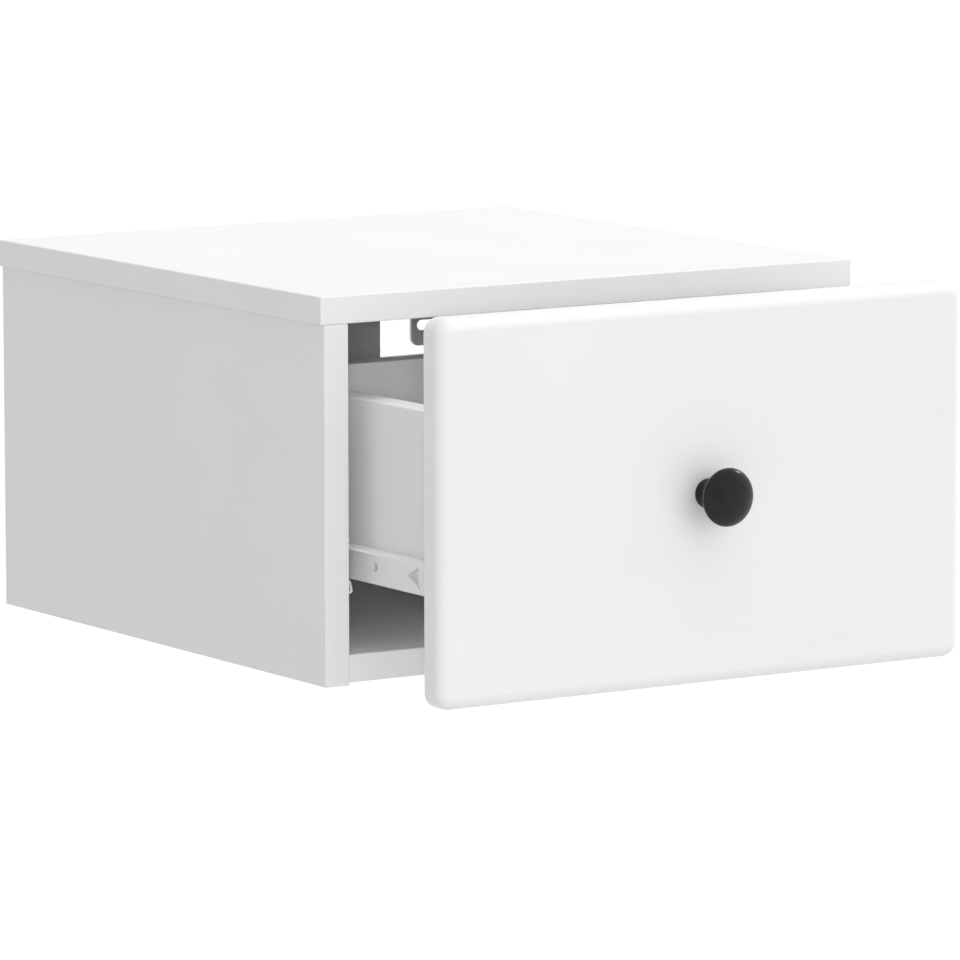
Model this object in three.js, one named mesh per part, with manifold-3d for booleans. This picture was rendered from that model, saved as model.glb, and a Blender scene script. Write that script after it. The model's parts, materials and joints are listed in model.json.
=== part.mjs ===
// A wall-hung nightstand with one drawer on roller runners, shown with the drawer part of the way out.
// Lengths are millimetres. X runs to the right, Y into the wall and Z up.
// Solids are placed from the lower front middle of the cabinet. The group at the end moves the origin
// to the middle of the rear face, which lies on the wall.
import * as THREE from "three";
import { RoundedBoxGeometry } from "three/addons/geometries/RoundedBoxGeometry.js";
import { mergeVertices } from "three/addons/utils/BufferGeometryUtils.js";
import Module from "manifold-3d";

// Cabinet boards
const boardThickness = 15;
const cabinetWidth = 336; // over the side panels
const cabinetDepth = 346;
const sideHeight = 192;
const topOverhang = 2; // of the top panel past each side panel
const bottomRise = 1.5; // of the bottom panel above the side panels' lower edges
const edgeEase = 0.8; // radius of the eased edges of every board
const notchWidth = 80.5; // of each upper corner cut out of the back panel
const notchMargin = 5; // of those cut-outs below the wall brackets

// Drawer boards
const frontThickness = 16;
const frontInset = 2.5; // of the drawer front's ends from the cabinet's sides
const frontRise = 2; // of the drawer front above the cabinet's underside, and below its top
const frontEdgeRadius = 7; // of the round around the front face
const frontCornerRadius = 8.5; // of the four corners seen from the front
const closedGap = 0.5; // between the shut drawer front and the cabinet
const drawerOpening = 92.5; // how far out the drawer stands
const drawerBoard = 16;
const drawerRise = 54.5; // of the drawer sides' lower edges
const drawerSideHeight = 96;
const drawerPanelThickness = 3; // of the drawer's bottom
const drawerPanelRise = 10; // of the drawer's bottom above the sides' lower edges
const grooveDepth = 5;
const runnerSpace = 13; // between each side panel and the drawer side beside it

// Roller runners
const runnerSteel = 1.2;
const runnerBend = 1.4; // radius of the middle of the sheet in a fold
const runnerLength = 250; // and of the drawer sides
const runnerSetback = 14.8; // of the cabinet runner behind the cabinet's front
const cabinetRunnerHeight = 28.8;
const laneWidth = 11.2; // of the cabinet runner's lower flange, lip included
const laneLipHeight = 6.5;
const laneLipSlant = 2.5; // by which the lip's upper corner is cut back at its front end
const topFlangeWidth = 9.5;
const drawerRunnerHeight = 19.7;
const shelfWidth = 10; // of the drawer runner's upper flange
const hookWidth = 10; // of its lower flange, under the drawer side
const laneSlack = 1.1; // height that the rollers leave free between lane and shelf
const rollerRadius = 11.5;
const rollerWidth = 6.5;
const rollerEdge = 1.2;
const rollerRecess = 1.4;
const rollerGap = 0.3; // between a roller and the track that it rolls on
const rollerHubRadius = 4.6;
const axleRadius = 2.5;
const axleHeadRadius = 4;
const axleHeadThickness = 0.8;
const frontRollerSetback = 27; // of the front roller's axis behind the cabinet's front
const rearRollerInset = 7.9; // of the rear roller's axis ahead of the drawer runner's rear end
const runnerHoleRadius = 2.7;
const runnerHoleSetback = 86.5; // behind the drawer front
const windowSetback = 43; // of the three-cornered window behind the drawer front
const windowLength = 13.5;
const windowHeight = 11;
const windowBowShare = 0.2; // by which its sides bow in, from their middles towards its centre
const pipRadius = 0.9;
const cabinetScrewShares = [0.2, 0.84]; // places along the cabinet's runner
const drawerScrewShares = [0.52, 0.82]; // places along the drawer's runner
const adjustingSlotShares = [0.336, 0.464, 0.592, 0.72]; // places along the cabinet's runner
const adjustingSlotLength = 10;
const adjustingSlotHeight = 4.6;

// Wall brackets
const bracketSteel = 2;
const bracketBend = 2.2;
const bracketHeight = 60;
const bracketDrop = 3; // of the brackets' tops below the side panels' tops
const bracketWallLeg = 51;
const bracketSideLeg = 25;
const bracketCorner = 5;
const bracketSlotLength = 24;
const bracketSlotHeight = 6;
const bracketSlotMargin = 4; // between a slot and the free end of the wall leg
const bracketSlotInset = 12; // of each slot's middle from the upper or lower edge
const bracketScrewInset = 15;
const bracketScrewSetback = 11; // of the screws from the side leg's free edge

// Cam fittings
const camRadius = 7.2;
const camDepth = 12;
const camReach = 24; // from the cam's axis to the end of its board
const camCrossLength = 8;
const camCrossWidth = 1.4;
const camCrossDepth = 1.5;
const boltHeadRadius = 3.2;
const boltHeadLength = 2.6;
const boltNeckRadius = 2;
const boltStemRadius = 3.4;
const boltThreadRadius = 2.8;
const boltThreadLength = 10.5;
const boltStemLength = 14;
const topCamSetback = 60; // of the front pair behind the cabinet's front
const topCamRearSetback = 86; // of the rear pair ahead of the wall
const bottomCamSetback = 150;
const backCamHeight = 62;

// Screws
const screwRadius = 1.9;
const screwHeadRadius = 3.6;
const screwLength = 14;
const backScrewLength = 38;
const screwTip = 2.5;
const panHeadHeight = 2;
const recessLengthShare = 1.1; // of the head's radius
const recessWidth = 0.9;
const recessDepthShare = 0.6; // of the head's height

// Knob
const knobProjection = 26;
const knobFootRadius = 8;
const knobFootThickness = 2.2;
const knobNeckRadius = 6.8;
const knobHeadRadius = 15.5;
const knobRimHeight = 8;
const knobBoltRadius = 2;
const knobBoltGrip = 9; // of the bolt inside the knob
const knobBoltHeadRadius = 4.2;
const knobBoltHeadHeight = 2.4;

// Fits and counts
const seatGap = 0.05; // hairline between two faces that press on each other
const fitGap = 0.3; // around whatever sits in a hole, a pocket or a groove
const overrun = 1; // by which a cut passes the face that it starts from
const weldDistance = 0.001;
const knobSides = 32;
const wheelSides = 20;
const holeSides = 12;
const screwSides = 10;
const boltSides = 8;
const bendSteps = 3;
const cornerSteps = 5;
const slotSteps = 3;
const knobSteps = 4;

const half = cabinetWidth / 2;
const inner = half - boardThickness;
const cabinetHeight = sideHeight + seatGap + boardThickness;
const bracketTop = sideHeight - bracketDrop;
const bracketRise = bracketTop - bracketHeight;
const notchFloor = bracketRise - notchMargin;
const frontWidth = cabinetWidth - 2 * frontInset;
const frontHeight = sideHeight + boardThickness - 2 * frontRise;
const drawerFace = -closedGap; // back of the drawer front, with the drawer shut
const drawerTop = drawerRise + drawerSideHeight;
const drawerOuter = inner - runnerSpace;
const drawerInner = drawerOuter - drawerBoard;

const wasm = await Module();
wasm.setup();

// Solids for cutting and joining

function toSolid(geometry) {
  const bare = geometry.clone();
  bare.deleteAttribute("normal");
  bare.deleteAttribute("uv");
  const welded = mergeVertices(bare, weldDistance);
  return new wasm.Manifold(
    new wasm.Mesh({
      numProp: 3,
      vertProperties: welded.attributes.position.array,
      triVerts: new Uint32Array(welded.index.array),
    }),
  );
}

function toGeometry(solid) {
  const { vertProperties, triVerts } = solid.getMesh();
  const geometry = new THREE.BufferGeometry();
  geometry.setAttribute("position", new THREE.BufferAttribute(vertProperties, 3));
  geometry.setIndex(new THREE.BufferAttribute(triVerts, 1));
  const faceted = geometry.toNonIndexed();
  faceted.computeVertexNormals();
  return faceted;
}

function cut(solid, ...tools) {
  return tools.flat().reduce((rest, tool) => rest.subtract(tool), solid);
}

// The same solid on the other side of the cabinet's middle.
function mirrored(solid) {
  const geometry = toGeometry(solid);
  const position = geometry.attributes.position;
  for (let i = 0; i < position.count; i += 3) {
    const a = new THREE.Vector3().fromBufferAttribute(position, i);
    const b = new THREE.Vector3().fromBufferAttribute(position, i + 1);
    position.setXYZ(i, -b.x, b.y, b.z);
    position.setXYZ(i + 1, -a.x, a.y, a.z);
    position.setX(i + 2, -position.getX(i + 2));
  }
  return toSolid(geometry);
}

function withMirrored(tools) {
  return [...tools, ...tools.map(mirrored)];
}

// Forms

function block(low, high) {
  const size = high.map((value, axis) => value - low[axis]);
  const centre = high.map((value, axis) => (value + low[axis]) / 2);
  return toSolid(new THREE.BoxGeometry(...size).translate(...centre));
}

// A board with its twelve edges eased.
function board(low, high) {
  const size = high.map((value, axis) => value - low[axis]);
  const centre = high.map((value, axis) => (value + low[axis]) / 2);
  return toSolid(new RoundedBoxGeometry(...size, 1, edgeEase).translate(...centre));
}

function outline(points) {
  return new THREE.Shape(points.map(([u, v]) => new THREE.Vector2(u, v)));
}

// A closed outline whose sides bow in towards its centre.
function bowedOutline(points, bowShare) {
  const corners = points.map(([u, v]) => new THREE.Vector2(u, v));
  const centre = new THREE.Vector2();
  corners.forEach((corner) => centre.addScaledVector(corner, 1 / corners.length));
  const shape = new THREE.Shape().moveTo(...corners[0].toArray());
  corners.forEach((corner, i) => {
    const next = corners[(i + 1) % corners.length];
    const bend = corner.clone().lerp(next, 1 / 2).lerp(centre, bowShare);
    shape.quadraticCurveTo(bend.x, bend.y, next.x, next.y);
  });
  shape.curveSteps = slotSteps;
  return shape;
}

function slotOutline(u, v, length, height) {
  const radius = height / 2;
  const reach = length / 2 - radius;
  const shape = new THREE.Shape();
  shape.absarc(u + reach, v, radius, -Math.PI / 2, Math.PI / 2);
  shape.absarc(u - reach, v, radius, Math.PI / 2, (3 * Math.PI) / 2);
  shape.curveSteps = 2 * slotSteps;
  return shape;
}

function roundedOutline(low, high, radius) {
  const shape = new THREE.Shape();
  shape.absarc(high[0] - radius, high[1] - radius, radius, 0, Math.PI / 2);
  shape.absarc(low[0] + radius, high[1] - radius, radius, Math.PI / 2, Math.PI);
  shape.absarc(low[0] + radius, low[1] + radius, radius, Math.PI, (3 * Math.PI) / 2);
  shape.absarc(high[0] - radius, low[1] + radius, radius, (3 * Math.PI) / 2, 2 * Math.PI);
  return shape;
}

const axisX = new THREE.Vector3(1, 0, 0);
const axisY = new THREE.Vector3(0, 1, 0);
const axisZ = new THREE.Vector3(0, 0, 1);

function extruded(shape, from, to) {
  const curveSegments = shape.curveSteps ?? cornerSteps;
  return new THREE.ExtrudeGeometry(shape, { depth: to - from, bevelEnabled: false, curveSegments });
}

// An outline drawn in Y and Z, carried along X.
function alongX(shape, from, to) {
  const turn = new THREE.Matrix4().makeBasis(axisY, axisZ, axisX);
  return toSolid(extruded(shape, from, to).applyMatrix4(turn).translate(from, 0, 0));
}

// An outline drawn in X and Z, carried along Y.
function alongY(shape, from, to) {
  const turn = new THREE.Matrix4().makeBasis(axisX, axisZ, axisY.clone().negate());
  return toSolid(extruded(shape, from, to).applyMatrix4(turn).translate(0, to, 0));
}

// An outline drawn in X and Y, carried along Z.
function alongZ(shape, from, to) {
  return toSolid(extruded(shape, from, to).translate(0, 0, from));
}

// A profile of radii and distances, turned about a line that starts at one point and runs one way.
function turned(profile, start, direction, sides) {
  const points = profile.map(([radius, along]) => new THREE.Vector2(radius, along));
  const geometry = new THREE.LatheGeometry(points, sides);
  geometry.applyQuaternion(new THREE.Quaternion().setFromUnitVectors(axisY, direction));
  return toSolid(geometry.translate(start.x, start.y, start.z));
}

function withoutRepeats(profile) {
  const isNew = ([r, along], i) => i === 0 || r !== profile[i - 1][0] || along !== profile[i - 1][1];
  return profile.filter(isNew);
}

function rod(radius, start, direction, length, sides = holeSides) {
  return turned([[0, 0], [radius, 0], [radius, length], [0, length]], start, direction, sides);
}

function point(x, y, z) {
  return new THREE.Vector3(x, y, z);
}

function step(from, direction, distance) {
  return from.clone().addScaledVector(direction, distance);
}

// Section of a sheet folded along a line of points, with a round bend at each point between the ends.
function foldedSection(line, thickness, bendRadius) {
  const spine = [];
  const points = line.map(([u, v]) => new THREE.Vector2(u, v));
  const normalOf = (direction) => new THREE.Vector2(-direction.y, direction.x);
  const way = (i) => points[i + 1].clone().sub(points[i]).normalize();
  spine.push({ at: points[0], normal: normalOf(way(0)) });
  for (let i = 1; i < points.length - 1; i++) {
    const arriving = way(i - 1);
    const leaving = way(i);
    const turn = Math.atan2(arriving.cross(leaving), arriving.dot(leaving));
    const side = Math.sign(turn);
    const tangent = bendRadius * Math.tan(Math.abs(turn) / 2);
    const start = points[i].clone().addScaledVector(arriving, -tangent);
    const centre = start.clone().addScaledVector(normalOf(arriving), side * bendRadius);
    for (let k = 0; k <= bendSteps; k++) {
      const normal = normalOf(arriving).rotateAround(new THREE.Vector2(), (turn * k) / bendSteps);
      spine.push({ at: centre.clone().addScaledVector(normal, -side * bendRadius), normal });
    }
  }
  spine.push({ at: points.at(-1), normal: normalOf(way(points.length - 2)) });
  const offset = (distance) => spine.map(({ at, normal }) => at.clone().addScaledVector(normal, distance));
  return new THREE.Shape([...offset(-thickness / 2), ...offset(thickness / 2).reverse()]);
}

// Fasteners

// A cross-shaped recess, sunk into a face along a direction.
function crossRecess(start, direction, length, width, depth) {
  const turn = new THREE.Quaternion().setFromUnitVectors(axisY, direction);
  const centre = step(start, direction, (depth - overrun) / 2);
  const arm = (across, along) => {
    const bar = new THREE.BoxGeometry(across, depth + overrun, along);
    return toSolid(bar.applyQuaternion(turn).translate(...centre.toArray()));
  };
  return arm(length, width).add(arm(width, length));
}

// A screw that starts at its head's outer face and runs one way. A countersunk head is as deep as the
// sheet that it holds, and a pan head stands proud of it.
function screw(
  start,
  direction,
  length,
  headHeight,
  countersunk,
  radius = screwRadius,
  headRadius = screwHeadRadius,
) {
  const neck = countersunk ? radius : headRadius;
  const profile = withoutRepeats([
    [0, 0],
    [headRadius, 0],
    [neck, headHeight],
    [radius, headHeight],
    [radius, length - screwTip],
    [0, length],
  ]);
  const recess = crossRecess(
    start,
    direction,
    headRadius * recessLengthShare,
    recessWidth,
    headHeight * recessDepthShare,
  );
  return cut(turned(profile, start, direction, screwSides), recess);
}

function screwHole(start, direction, length, radius = screwRadius) {
  return rod(radius + fitGap, step(start, direction, -overrun), direction, length + overrun + fitGap);
}

// A cam in a pocket of one board pulls the head of a bolt that is screwed into the next board.
// mouth is the middle of the pocket in the board's face, into runs into the board, pull runs along the
// bolt to the next board, and depth is the bolt's distance from the face.
function camFitting(mouth, into, pull, depth) {
  const centre = step(mouth, into, depth);
  const joint = step(centre, pull, camReach);
  const headEnd = -boltHeadLength / 2;
  const stemStart = camReach - boltStemLength;
  const boltProfile = [
    [0, headEnd],
    [boltHeadRadius, headEnd],
    [boltHeadRadius, headEnd + boltHeadLength],
    [boltNeckRadius, headEnd + boltHeadLength],
    [boltNeckRadius, stemStart],
    [boltStemRadius, stemStart],
    [boltStemRadius, camReach],
    [boltThreadRadius, camReach],
    [boltThreadRadius, camReach + boltThreadLength],
    [0, camReach + boltThreadLength],
  ];
  const boltBore = boltStemRadius + fitGap;
  const drum = rod(camRadius, step(mouth, into, fitGap), into, camDepth);
  return {
    pocket: rod(camRadius + fitGap, step(mouth, into, -overrun), into, overrun + camDepth + 2 * fitGap),
    bore: rod(boltBore, centre, pull, camReach + overrun),
    pilot: screwHole(joint, pull, boltThreadLength, boltThreadRadius),
    lock: cut(
      drum,
      rod(boltBore, step(centre, pull, -boltHeadLength), pull, camReach, boltSides),
      crossRecess(step(mouth, into, fitGap), into, camCrossLength, camCrossWidth, camCrossDepth),
    ),
    bolt: turned(boltProfile, centre, pull, boltSides),
  };
}

// Where the fittings sit on the left-hand side

const right = axisX;
const left = axisX.clone().negate();
const forward = axisY.clone().negate();
const up = axisZ;

const topCams = [topCamSetback, cabinetDepth - topCamRearSetback].map((setback) =>
  camFitting(point(-inner, setback, sideHeight - camReach), left, up, boardThickness / 2),
);
const bottomCam = camFitting(
  point(-inner + camReach, bottomCamSetback, bottomRise),
  up,
  left,
  boardThickness / 2,
);
const backCam = camFitting(
  point(-inner + camReach, cabinetDepth, backCamHeight),
  forward,
  left,
  boardThickness / 2,
);
const drawerCam = camFitting(
  point(-drawerInner, drawerFace + seatGap + camReach, drawerRise + drawerSideHeight / 2),
  left,
  forward,
  drawerBoard / 2,
);

// Heights of the runners, worked out from the drawer that they carry
const hookFloor = drawerRise - seatGap - runnerSteel;
const shelfTop = hookFloor + drawerRunnerHeight;
const shelfUnderside = shelfTop - runnerSteel;
const laneTop = shelfUnderside - 2 * rollerRadius - laneSlack;
const cabinetRunnerFloor = laneTop - runnerSteel;
const cabinetRunnerMiddle = cabinetRunnerFloor + cabinetRunnerHeight / 2;
const drawerRunnerMiddle = hookFloor + drawerRunnerHeight / 2;
const cabinetWebFace = -inner + seatGap + runnerSteel;
const drawerWebFace = -drawerOuter - seatGap - runnerSteel;
const frontRollerHeight = shelfUnderside - rollerGap - rollerRadius;
const rearRollerHeight = laneTop + rollerGap + rollerRadius;
const rearRollerSetback = drawerFace + seatGap + runnerLength - rearRollerInset;
const laneMiddle = -inner + (laneWidth - runnerSteel) / 2;

const cabinetRunnerScrews = cabinetScrewShares.map((share) =>
  point(cabinetWebFace, runnerSetback + runnerLength * share, cabinetRunnerMiddle),
);
const drawerRunnerScrews = drawerScrewShares.map((share) =>
  point(drawerWebFace, drawerFace + runnerLength * share, drawerRunnerMiddle),
);
const bracketFace = -inner + seatGap + bracketSteel;
const bracketScrewY = cabinetDepth - bracketSideLeg + bracketScrewSetback;
const bracketScrews = [bracketScrewInset, bracketHeight - bracketScrewInset].map((rise) =>
  point(bracketFace + panHeadHeight, bracketScrewY, bracketRise + rise),
);
const drawerPanelFloor = drawerRise + drawerPanelRise;
const drawerPanelTop = drawerPanelFloor + drawerPanelThickness;
const drawerRear = drawerFace + runnerLength;
const knobHeight = frontRise + frontHeight / 2;
const drawerBackScrew = point(
  -drawerOuter,
  drawerRear - drawerBoard / 2,
  (drawerPanelTop + drawerTop) / 2,
);

// Cabinet boards

function sidePanel() {
  const plain = board([-half, 0, 0], [-inner, cabinetDepth, sideHeight]);
  return cut(
    plain,
    topCams.flatMap(({ pocket, bore }) => [pocket, bore]),
    bottomCam.pilot,
    backCam.pilot,
    cabinetRunnerScrews.map((start) => screwHole(start, left, screwLength)),
    bracketScrews.map((start) => screwHole(start, left, screwLength + panHeadHeight)),
  );
}

function topPanel() {
  const floor = sideHeight + seatGap;
  const plain = board(
    [-half - topOverhang, 0, floor],
    [half + topOverhang, cabinetDepth, floor + boardThickness],
  );
  return cut(plain, withMirrored(topCams.map(({ pilot }) => pilot)));
}

function bottomPanel() {
  const reach = inner - seatGap;
  const plain = board([-reach, 0, bottomRise], [reach, cabinetDepth, bottomRise + boardThickness]);
  return cut(plain, withMirrored([bottomCam.pocket, bottomCam.bore]));
}

// The upper corners are cut away so that the wall brackets can be reached from inside.
function backPanel() {
  const reach = inner - seatGap;
  const front = cabinetDepth - boardThickness;
  const plain = board(
    [-reach, front, bottomRise + boardThickness + seatGap],
    [reach, cabinetDepth, sideHeight],
  );
  const notch = block(
    [-inner - overrun, front - overrun, notchFloor],
    [-inner + notchWidth, cabinetDepth + overrun, sideHeight + overrun],
  );
  return cut(plain, withMirrored([notch, backCam.pocket, backCam.bore]));
}

// A folded steel angle: one leg is screwed to the side panel and the other, slotted for the wall's
// screws, lies on the wall.
function wallBracket() {
  const sideX = -inner + seatGap + bracketSteel / 2;
  const wallY = cabinetDepth - bracketSteel / 2;
  const freeX = -inner + bracketWallLeg;
  const freeY = cabinetDepth - bracketSideLeg;
  const section = foldedSection([[freeX, wallY], [sideX, wallY], [sideX, freeY]], bracketSteel, bracketBend);
  const far = bracketWallLeg + bracketCorner;
  const wallOutline = roundedOutline([freeX - 2 * far, bracketRise], [freeX, bracketTop], bracketCorner);
  const sideOutline = roundedOutline([freeY, bracketRise], [freeY + 2 * far, bracketTop], bracketCorner);
  const slotX = freeX - bracketSlotMargin - bracketSlotLength / 2;
  const slots = [bracketRise + bracketSlotInset, bracketTop - bracketSlotInset].map((height) =>
    alongY(
      slotOutline(slotX, height, bracketSlotLength, bracketSlotHeight),
      wallY - bracketSteel,
      wallY + bracketSteel,
    ),
  );
  return cut(
    alongZ(section, bracketRise, bracketTop)
      .intersect(alongY(wallOutline, freeY - far, cabinetDepth + far))
      .intersect(alongX(sideOutline, -inner - far, freeX + far)),
    slots,
    bracketScrews.map((start) => screwHole(start, left, screwLength)),
  );
}

// Drawer boards, placed as with the drawer shut

function drawerFront() {
  const shape = roundedOutline(
    [-frontWidth / 2, frontRise],
    [frontWidth / 2, frontRise + frontHeight],
    frontCornerRadius,
  );
  const straight = frontThickness - frontEdgeRadius;
  const rounded = new THREE.ExtrudeGeometry(shape, {
    depth: straight,
    bevelThickness: frontEdgeRadius,
    bevelSize: frontEdgeRadius,
    bevelOffset: -frontEdgeRadius,
    bevelSegments: cornerSteps,
    curveSegments: cornerSteps,
  });
  rounded.applyMatrix4(new THREE.Matrix4().makeBasis(axisX, axisZ, forward));
  const bulk = toSolid(rounded.translate(0, drawerFace, 0));
  const reach = frontWidth;
  const grooveReach = drawerInner + grooveDepth + fitGap;
  const knobHole = point(0, drawerFace + overrun, knobHeight);
  return cut(
    bulk,
    block([-reach, drawerFace, -reach], [reach, drawerFace + 2 * frontThickness, 2 * reach]),
    block(
      [-grooveReach, drawerFace - grooveDepth - fitGap, drawerPanelFloor - fitGap],
      [grooveReach, drawerFace + overrun, drawerPanelTop + fitGap],
    ),
    rod(knobBoltRadius + fitGap, knobHole, forward, frontThickness + 2 * overrun),
    withMirrored([drawerCam.pilot]),
  );
}

function drawerSide() {
  const frontY = drawerFace + seatGap;
  const plain = board([-drawerOuter, frontY, drawerRise], [-drawerInner, drawerRear, drawerTop]);
  const groove = block(
    [-drawerInner - grooveDepth - fitGap, frontY - overrun, drawerPanelFloor - fitGap],
    [-drawerInner + overrun, drawerRear + overrun, drawerPanelTop + fitGap],
  );
  return cut(
    plain,
    groove,
    drawerCam.pocket,
    drawerCam.bore,
    drawerRunnerScrews.map((start) => screwHole(start, right, screwLength)),
    screwHole(drawerBackScrew, right, backScrewLength),
    rod(screwHeadRadius + fitGap, step(drawerBackScrew, left, overrun), right, overrun + screwHeadRadius),
  );
}

function drawerBack() {
  const reach = drawerInner - seatGap;
  const plain = board(
    [-reach, drawerRear - drawerBoard, drawerPanelTop + seatGap],
    [reach, drawerRear, drawerTop],
  );
  return cut(plain, withMirrored([screwHole(drawerBackScrew, right, backScrewLength)]));
}

function drawerPanel() {
  const reach = drawerInner + grooveDepth;
  return block([-reach, drawerFace - grooveDepth, drawerPanelFloor], [reach, drawerRear, drawerPanelTop]);
}

// Runners

// The cabinet's runner: a lane below for the drawer's roller, with a lip that keeps it in, and a flange
// above that holds it down when the drawer is out.
function cabinetRunner() {
  const webX = cabinetWebFace - runnerSteel / 2;
  const laneZ = laneTop - runnerSteel / 2;
  const lipX = -inner + laneWidth - runnerSteel / 2;
  const flangeZ = cabinetRunnerFloor + cabinetRunnerHeight - runnerSteel / 2;
  const lipTop = cabinetRunnerFloor + laneLipHeight;
  const front = runnerSetback;
  const rear = front + runnerLength;
  const section = foldedSection(
    [[lipX, lipTop], [lipX, laneZ], [webX, laneZ], [webX, flangeZ], [-inner + topFlangeWidth, flangeZ]],
    runnerSteel,
    runnerBend,
  );
  const lipEnd = outline([
    [front - overrun, laneTop],
    [front, laneTop],
    [front + laneLipSlant, lipTop + overrun],
    [front - overrun, lipTop + overrun],
  ]);
  const slots = adjustingSlotShares.map((share) =>
    alongX(
      slotOutline(
        front + runnerLength * share,
        cabinetRunnerMiddle,
        adjustingSlotLength,
        adjustingSlotHeight,
      ),
      webX - runnerSteel,
      webX + runnerSteel,
    ),
  );
  const axleHole = point(webX - runnerSteel, frontRollerSetback, frontRollerHeight);
  return cut(
    alongY(section, front, rear),
    alongX(lipEnd, laneMiddle, lipX + laneWidth),
    slots,
    rod(axleRadius + fitGap, axleHole, right, 2 * runnerSteel),
    cabinetRunnerScrews.map((start) =>
      rod(screwHeadRadius + fitGap, step(start, right, overrun), left, runnerSteel + 2 * overrun),
    ),
  );
}

// The drawer's runner: hooked under the drawer side, with a shelf that rides on the cabinet's roller.
function drawerRunner() {
  const webX = drawerWebFace + runnerSteel / 2;
  const shelfX = -drawerOuter - shelfWidth;
  const hookX = -drawerOuter + hookWidth;
  const front = drawerFace + seatGap;
  const rear = front + runnerLength;
  const section = foldedSection(
    [
      [hookX, hookFloor + runnerSteel / 2],
      [webX, hookFloor + runnerSteel / 2],
      [webX, shelfTop - runnerSteel / 2],
      [shelfX, shelfTop - runnerSteel / 2],
    ],
    runnerSteel,
    runnerBend,
  );
  const throughWeb = (shape) => alongX(shape, webX - runnerSteel, webX + runnerSteel);
  const windowFront = front + windowSetback;
  const windowFloor = drawerRunnerMiddle - windowHeight / 2;
  const windowShape = bowedOutline(
    [
      [windowFront, windowFloor],
      [windowFront + windowLength, drawerRunnerMiddle],
      [windowFront, windowFloor + windowHeight],
    ],
    windowBowShare,
  );
  const hole = (y, height, radius) =>
    rod(radius, point(webX - runnerSteel, y, height), right, 2 * runnerSteel);
  return cut(
    alongY(section, front, rear),
    throughWeb(windowShape),
    hole(front + runnerHoleSetback, drawerRunnerMiddle, runnerHoleRadius),
    hole(windowFront, windowFloor, pipRadius),
    hole(rearRollerSetback, rearRollerHeight, axleRadius + fitGap),
    drawerRunnerScrews.map((start) =>
      rod(screwHeadRadius + fitGap, step(start, left, overrun), right, runnerSteel + 2 * overrun),
    ),
  );
}

// A moulded roller with a dished web between its tread and its hub.
function roller(start) {
  const bore = axleRadius + fitGap;
  const tread = rollerRadius - rollerEdge;
  const dish = (tread + rollerHubRadius) / 2;
  const oneFace = [
    [bore, 0],
    [rollerHubRadius, 0],
    [dish, rollerRecess],
    [tread, 0],
    [rollerRadius, rollerEdge],
  ];
  const otherFace = oneFace.map(([radius, along]) => [radius, rollerWidth - along]).reverse();
  const profile = [...oneFace, ...otherFace, oneFace[0]];
  return turned(profile, start, right, wheelSides);
}

// A stepped rivet: a head, the bearing for the roller, a shoulder and a tail in the runner's web.
function axle(start, direction, shoulderEnd) {
  const bearingEnd = axleHeadThickness + rollerWidth + 2 * fitGap;
  const profile = [
    [0, 0],
    [axleHeadRadius, 0],
    [axleHeadRadius, axleHeadThickness],
    [axleRadius, axleHeadThickness],
    [axleRadius, bearingEnd],
    [axleHeadRadius, bearingEnd],
    [axleHeadRadius, shoulderEnd],
    [axleRadius, shoulderEnd],
    [axleRadius, shoulderEnd + runnerSteel],
    [0, shoulderEnd + runnerSteel],
  ];
  return turned(profile, start, direction, holeSides);
}

// The rear roller runs in the lane between the web and the lip, with its axle's head towards the web.
// The front roller stands in line with it.
const rearAxleStart = cabinetWebFace + fitGap;
const rollerStart = rearAxleStart + axleHeadThickness + fitGap;
const frontAxleStart = rollerStart + rollerWidth + fitGap + axleHeadThickness;

// Knob

function knob(y, z) {
  const foot = new THREE.Path();
  const bore = knobBoltRadius + fitGap;
  const neckEnd = knobProjection - knobRimHeight - knobNeckRadius;
  const rim = knobProjection - knobRimHeight;
  foot.moveTo(0, knobBoltGrip + fitGap);
  foot.lineTo(bore, knobBoltGrip + fitGap);
  foot.lineTo(bore, 0);
  foot.lineTo(knobFootRadius, 0);
  foot.lineTo(knobFootRadius, knobFootThickness / 2);
  foot.quadraticCurveTo(
    knobFootRadius,
    knobFootThickness,
    knobNeckRadius,
    (knobFootThickness + neckEnd) / 2,
  );
  foot.quadraticCurveTo(
    knobNeckRadius,
    rim - knobFootThickness,
    knobHeadRadius - knobFootThickness,
    rim - knobFootThickness / 2,
  );
  foot.quadraticCurveTo(knobHeadRadius, rim, knobHeadRadius, rim + knobRimHeight / 4);
  foot.bezierCurveTo(
    knobHeadRadius,
    rim + (knobRimHeight * 2) / 3,
    knobHeadRadius * (2 / 3),
    knobProjection,
    0,
    knobProjection,
  );
  const points = foot.getPoints(knobSteps).map(({ x, y: along }) => [x, along]);
  return turned(withoutRepeats(points), point(0, y, z), forward, knobSides);
}

// Finishes

function finish(color, roughness, metalness = 0) {
  return new THREE.MeshStandardMaterial({ color, roughness, metalness });
}

const whiteBoard = finish("#f1f2f4", 0.5);
const whiteLacquer = finish("#f6f7f9", 0.4);
const whitePanel = finish("#e9eaec", 0.6);
const coatedSteel = finish("#eceded", 0.45);
const platedSteel = finish("#a9acb0", 0.35, 1);
const dieCastZinc = finish("#8f9296", 0.5, 1);
const whiteNylon = finish("#e6e7e4", 0.55);
const blackLacquer = finish("#1b1b1d", 0.35);

// Assembly

const cabinet = new THREE.Group();
const drawer = new THREE.Group();

function add(parent, name, solid, material) {
  const mesh = new THREE.Mesh(toGeometry(solid), material);
  mesh.name = name;
  parent.add(mesh);
  return mesh;
}

function addPair(parent, name, solid, material) {
  add(parent, name + "_left", solid, material);
  add(parent, name + "_right", solid, material).scale.x = -1;
}

const order = ["front", "rear"];
const level = ["lower", "upper"];

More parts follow.
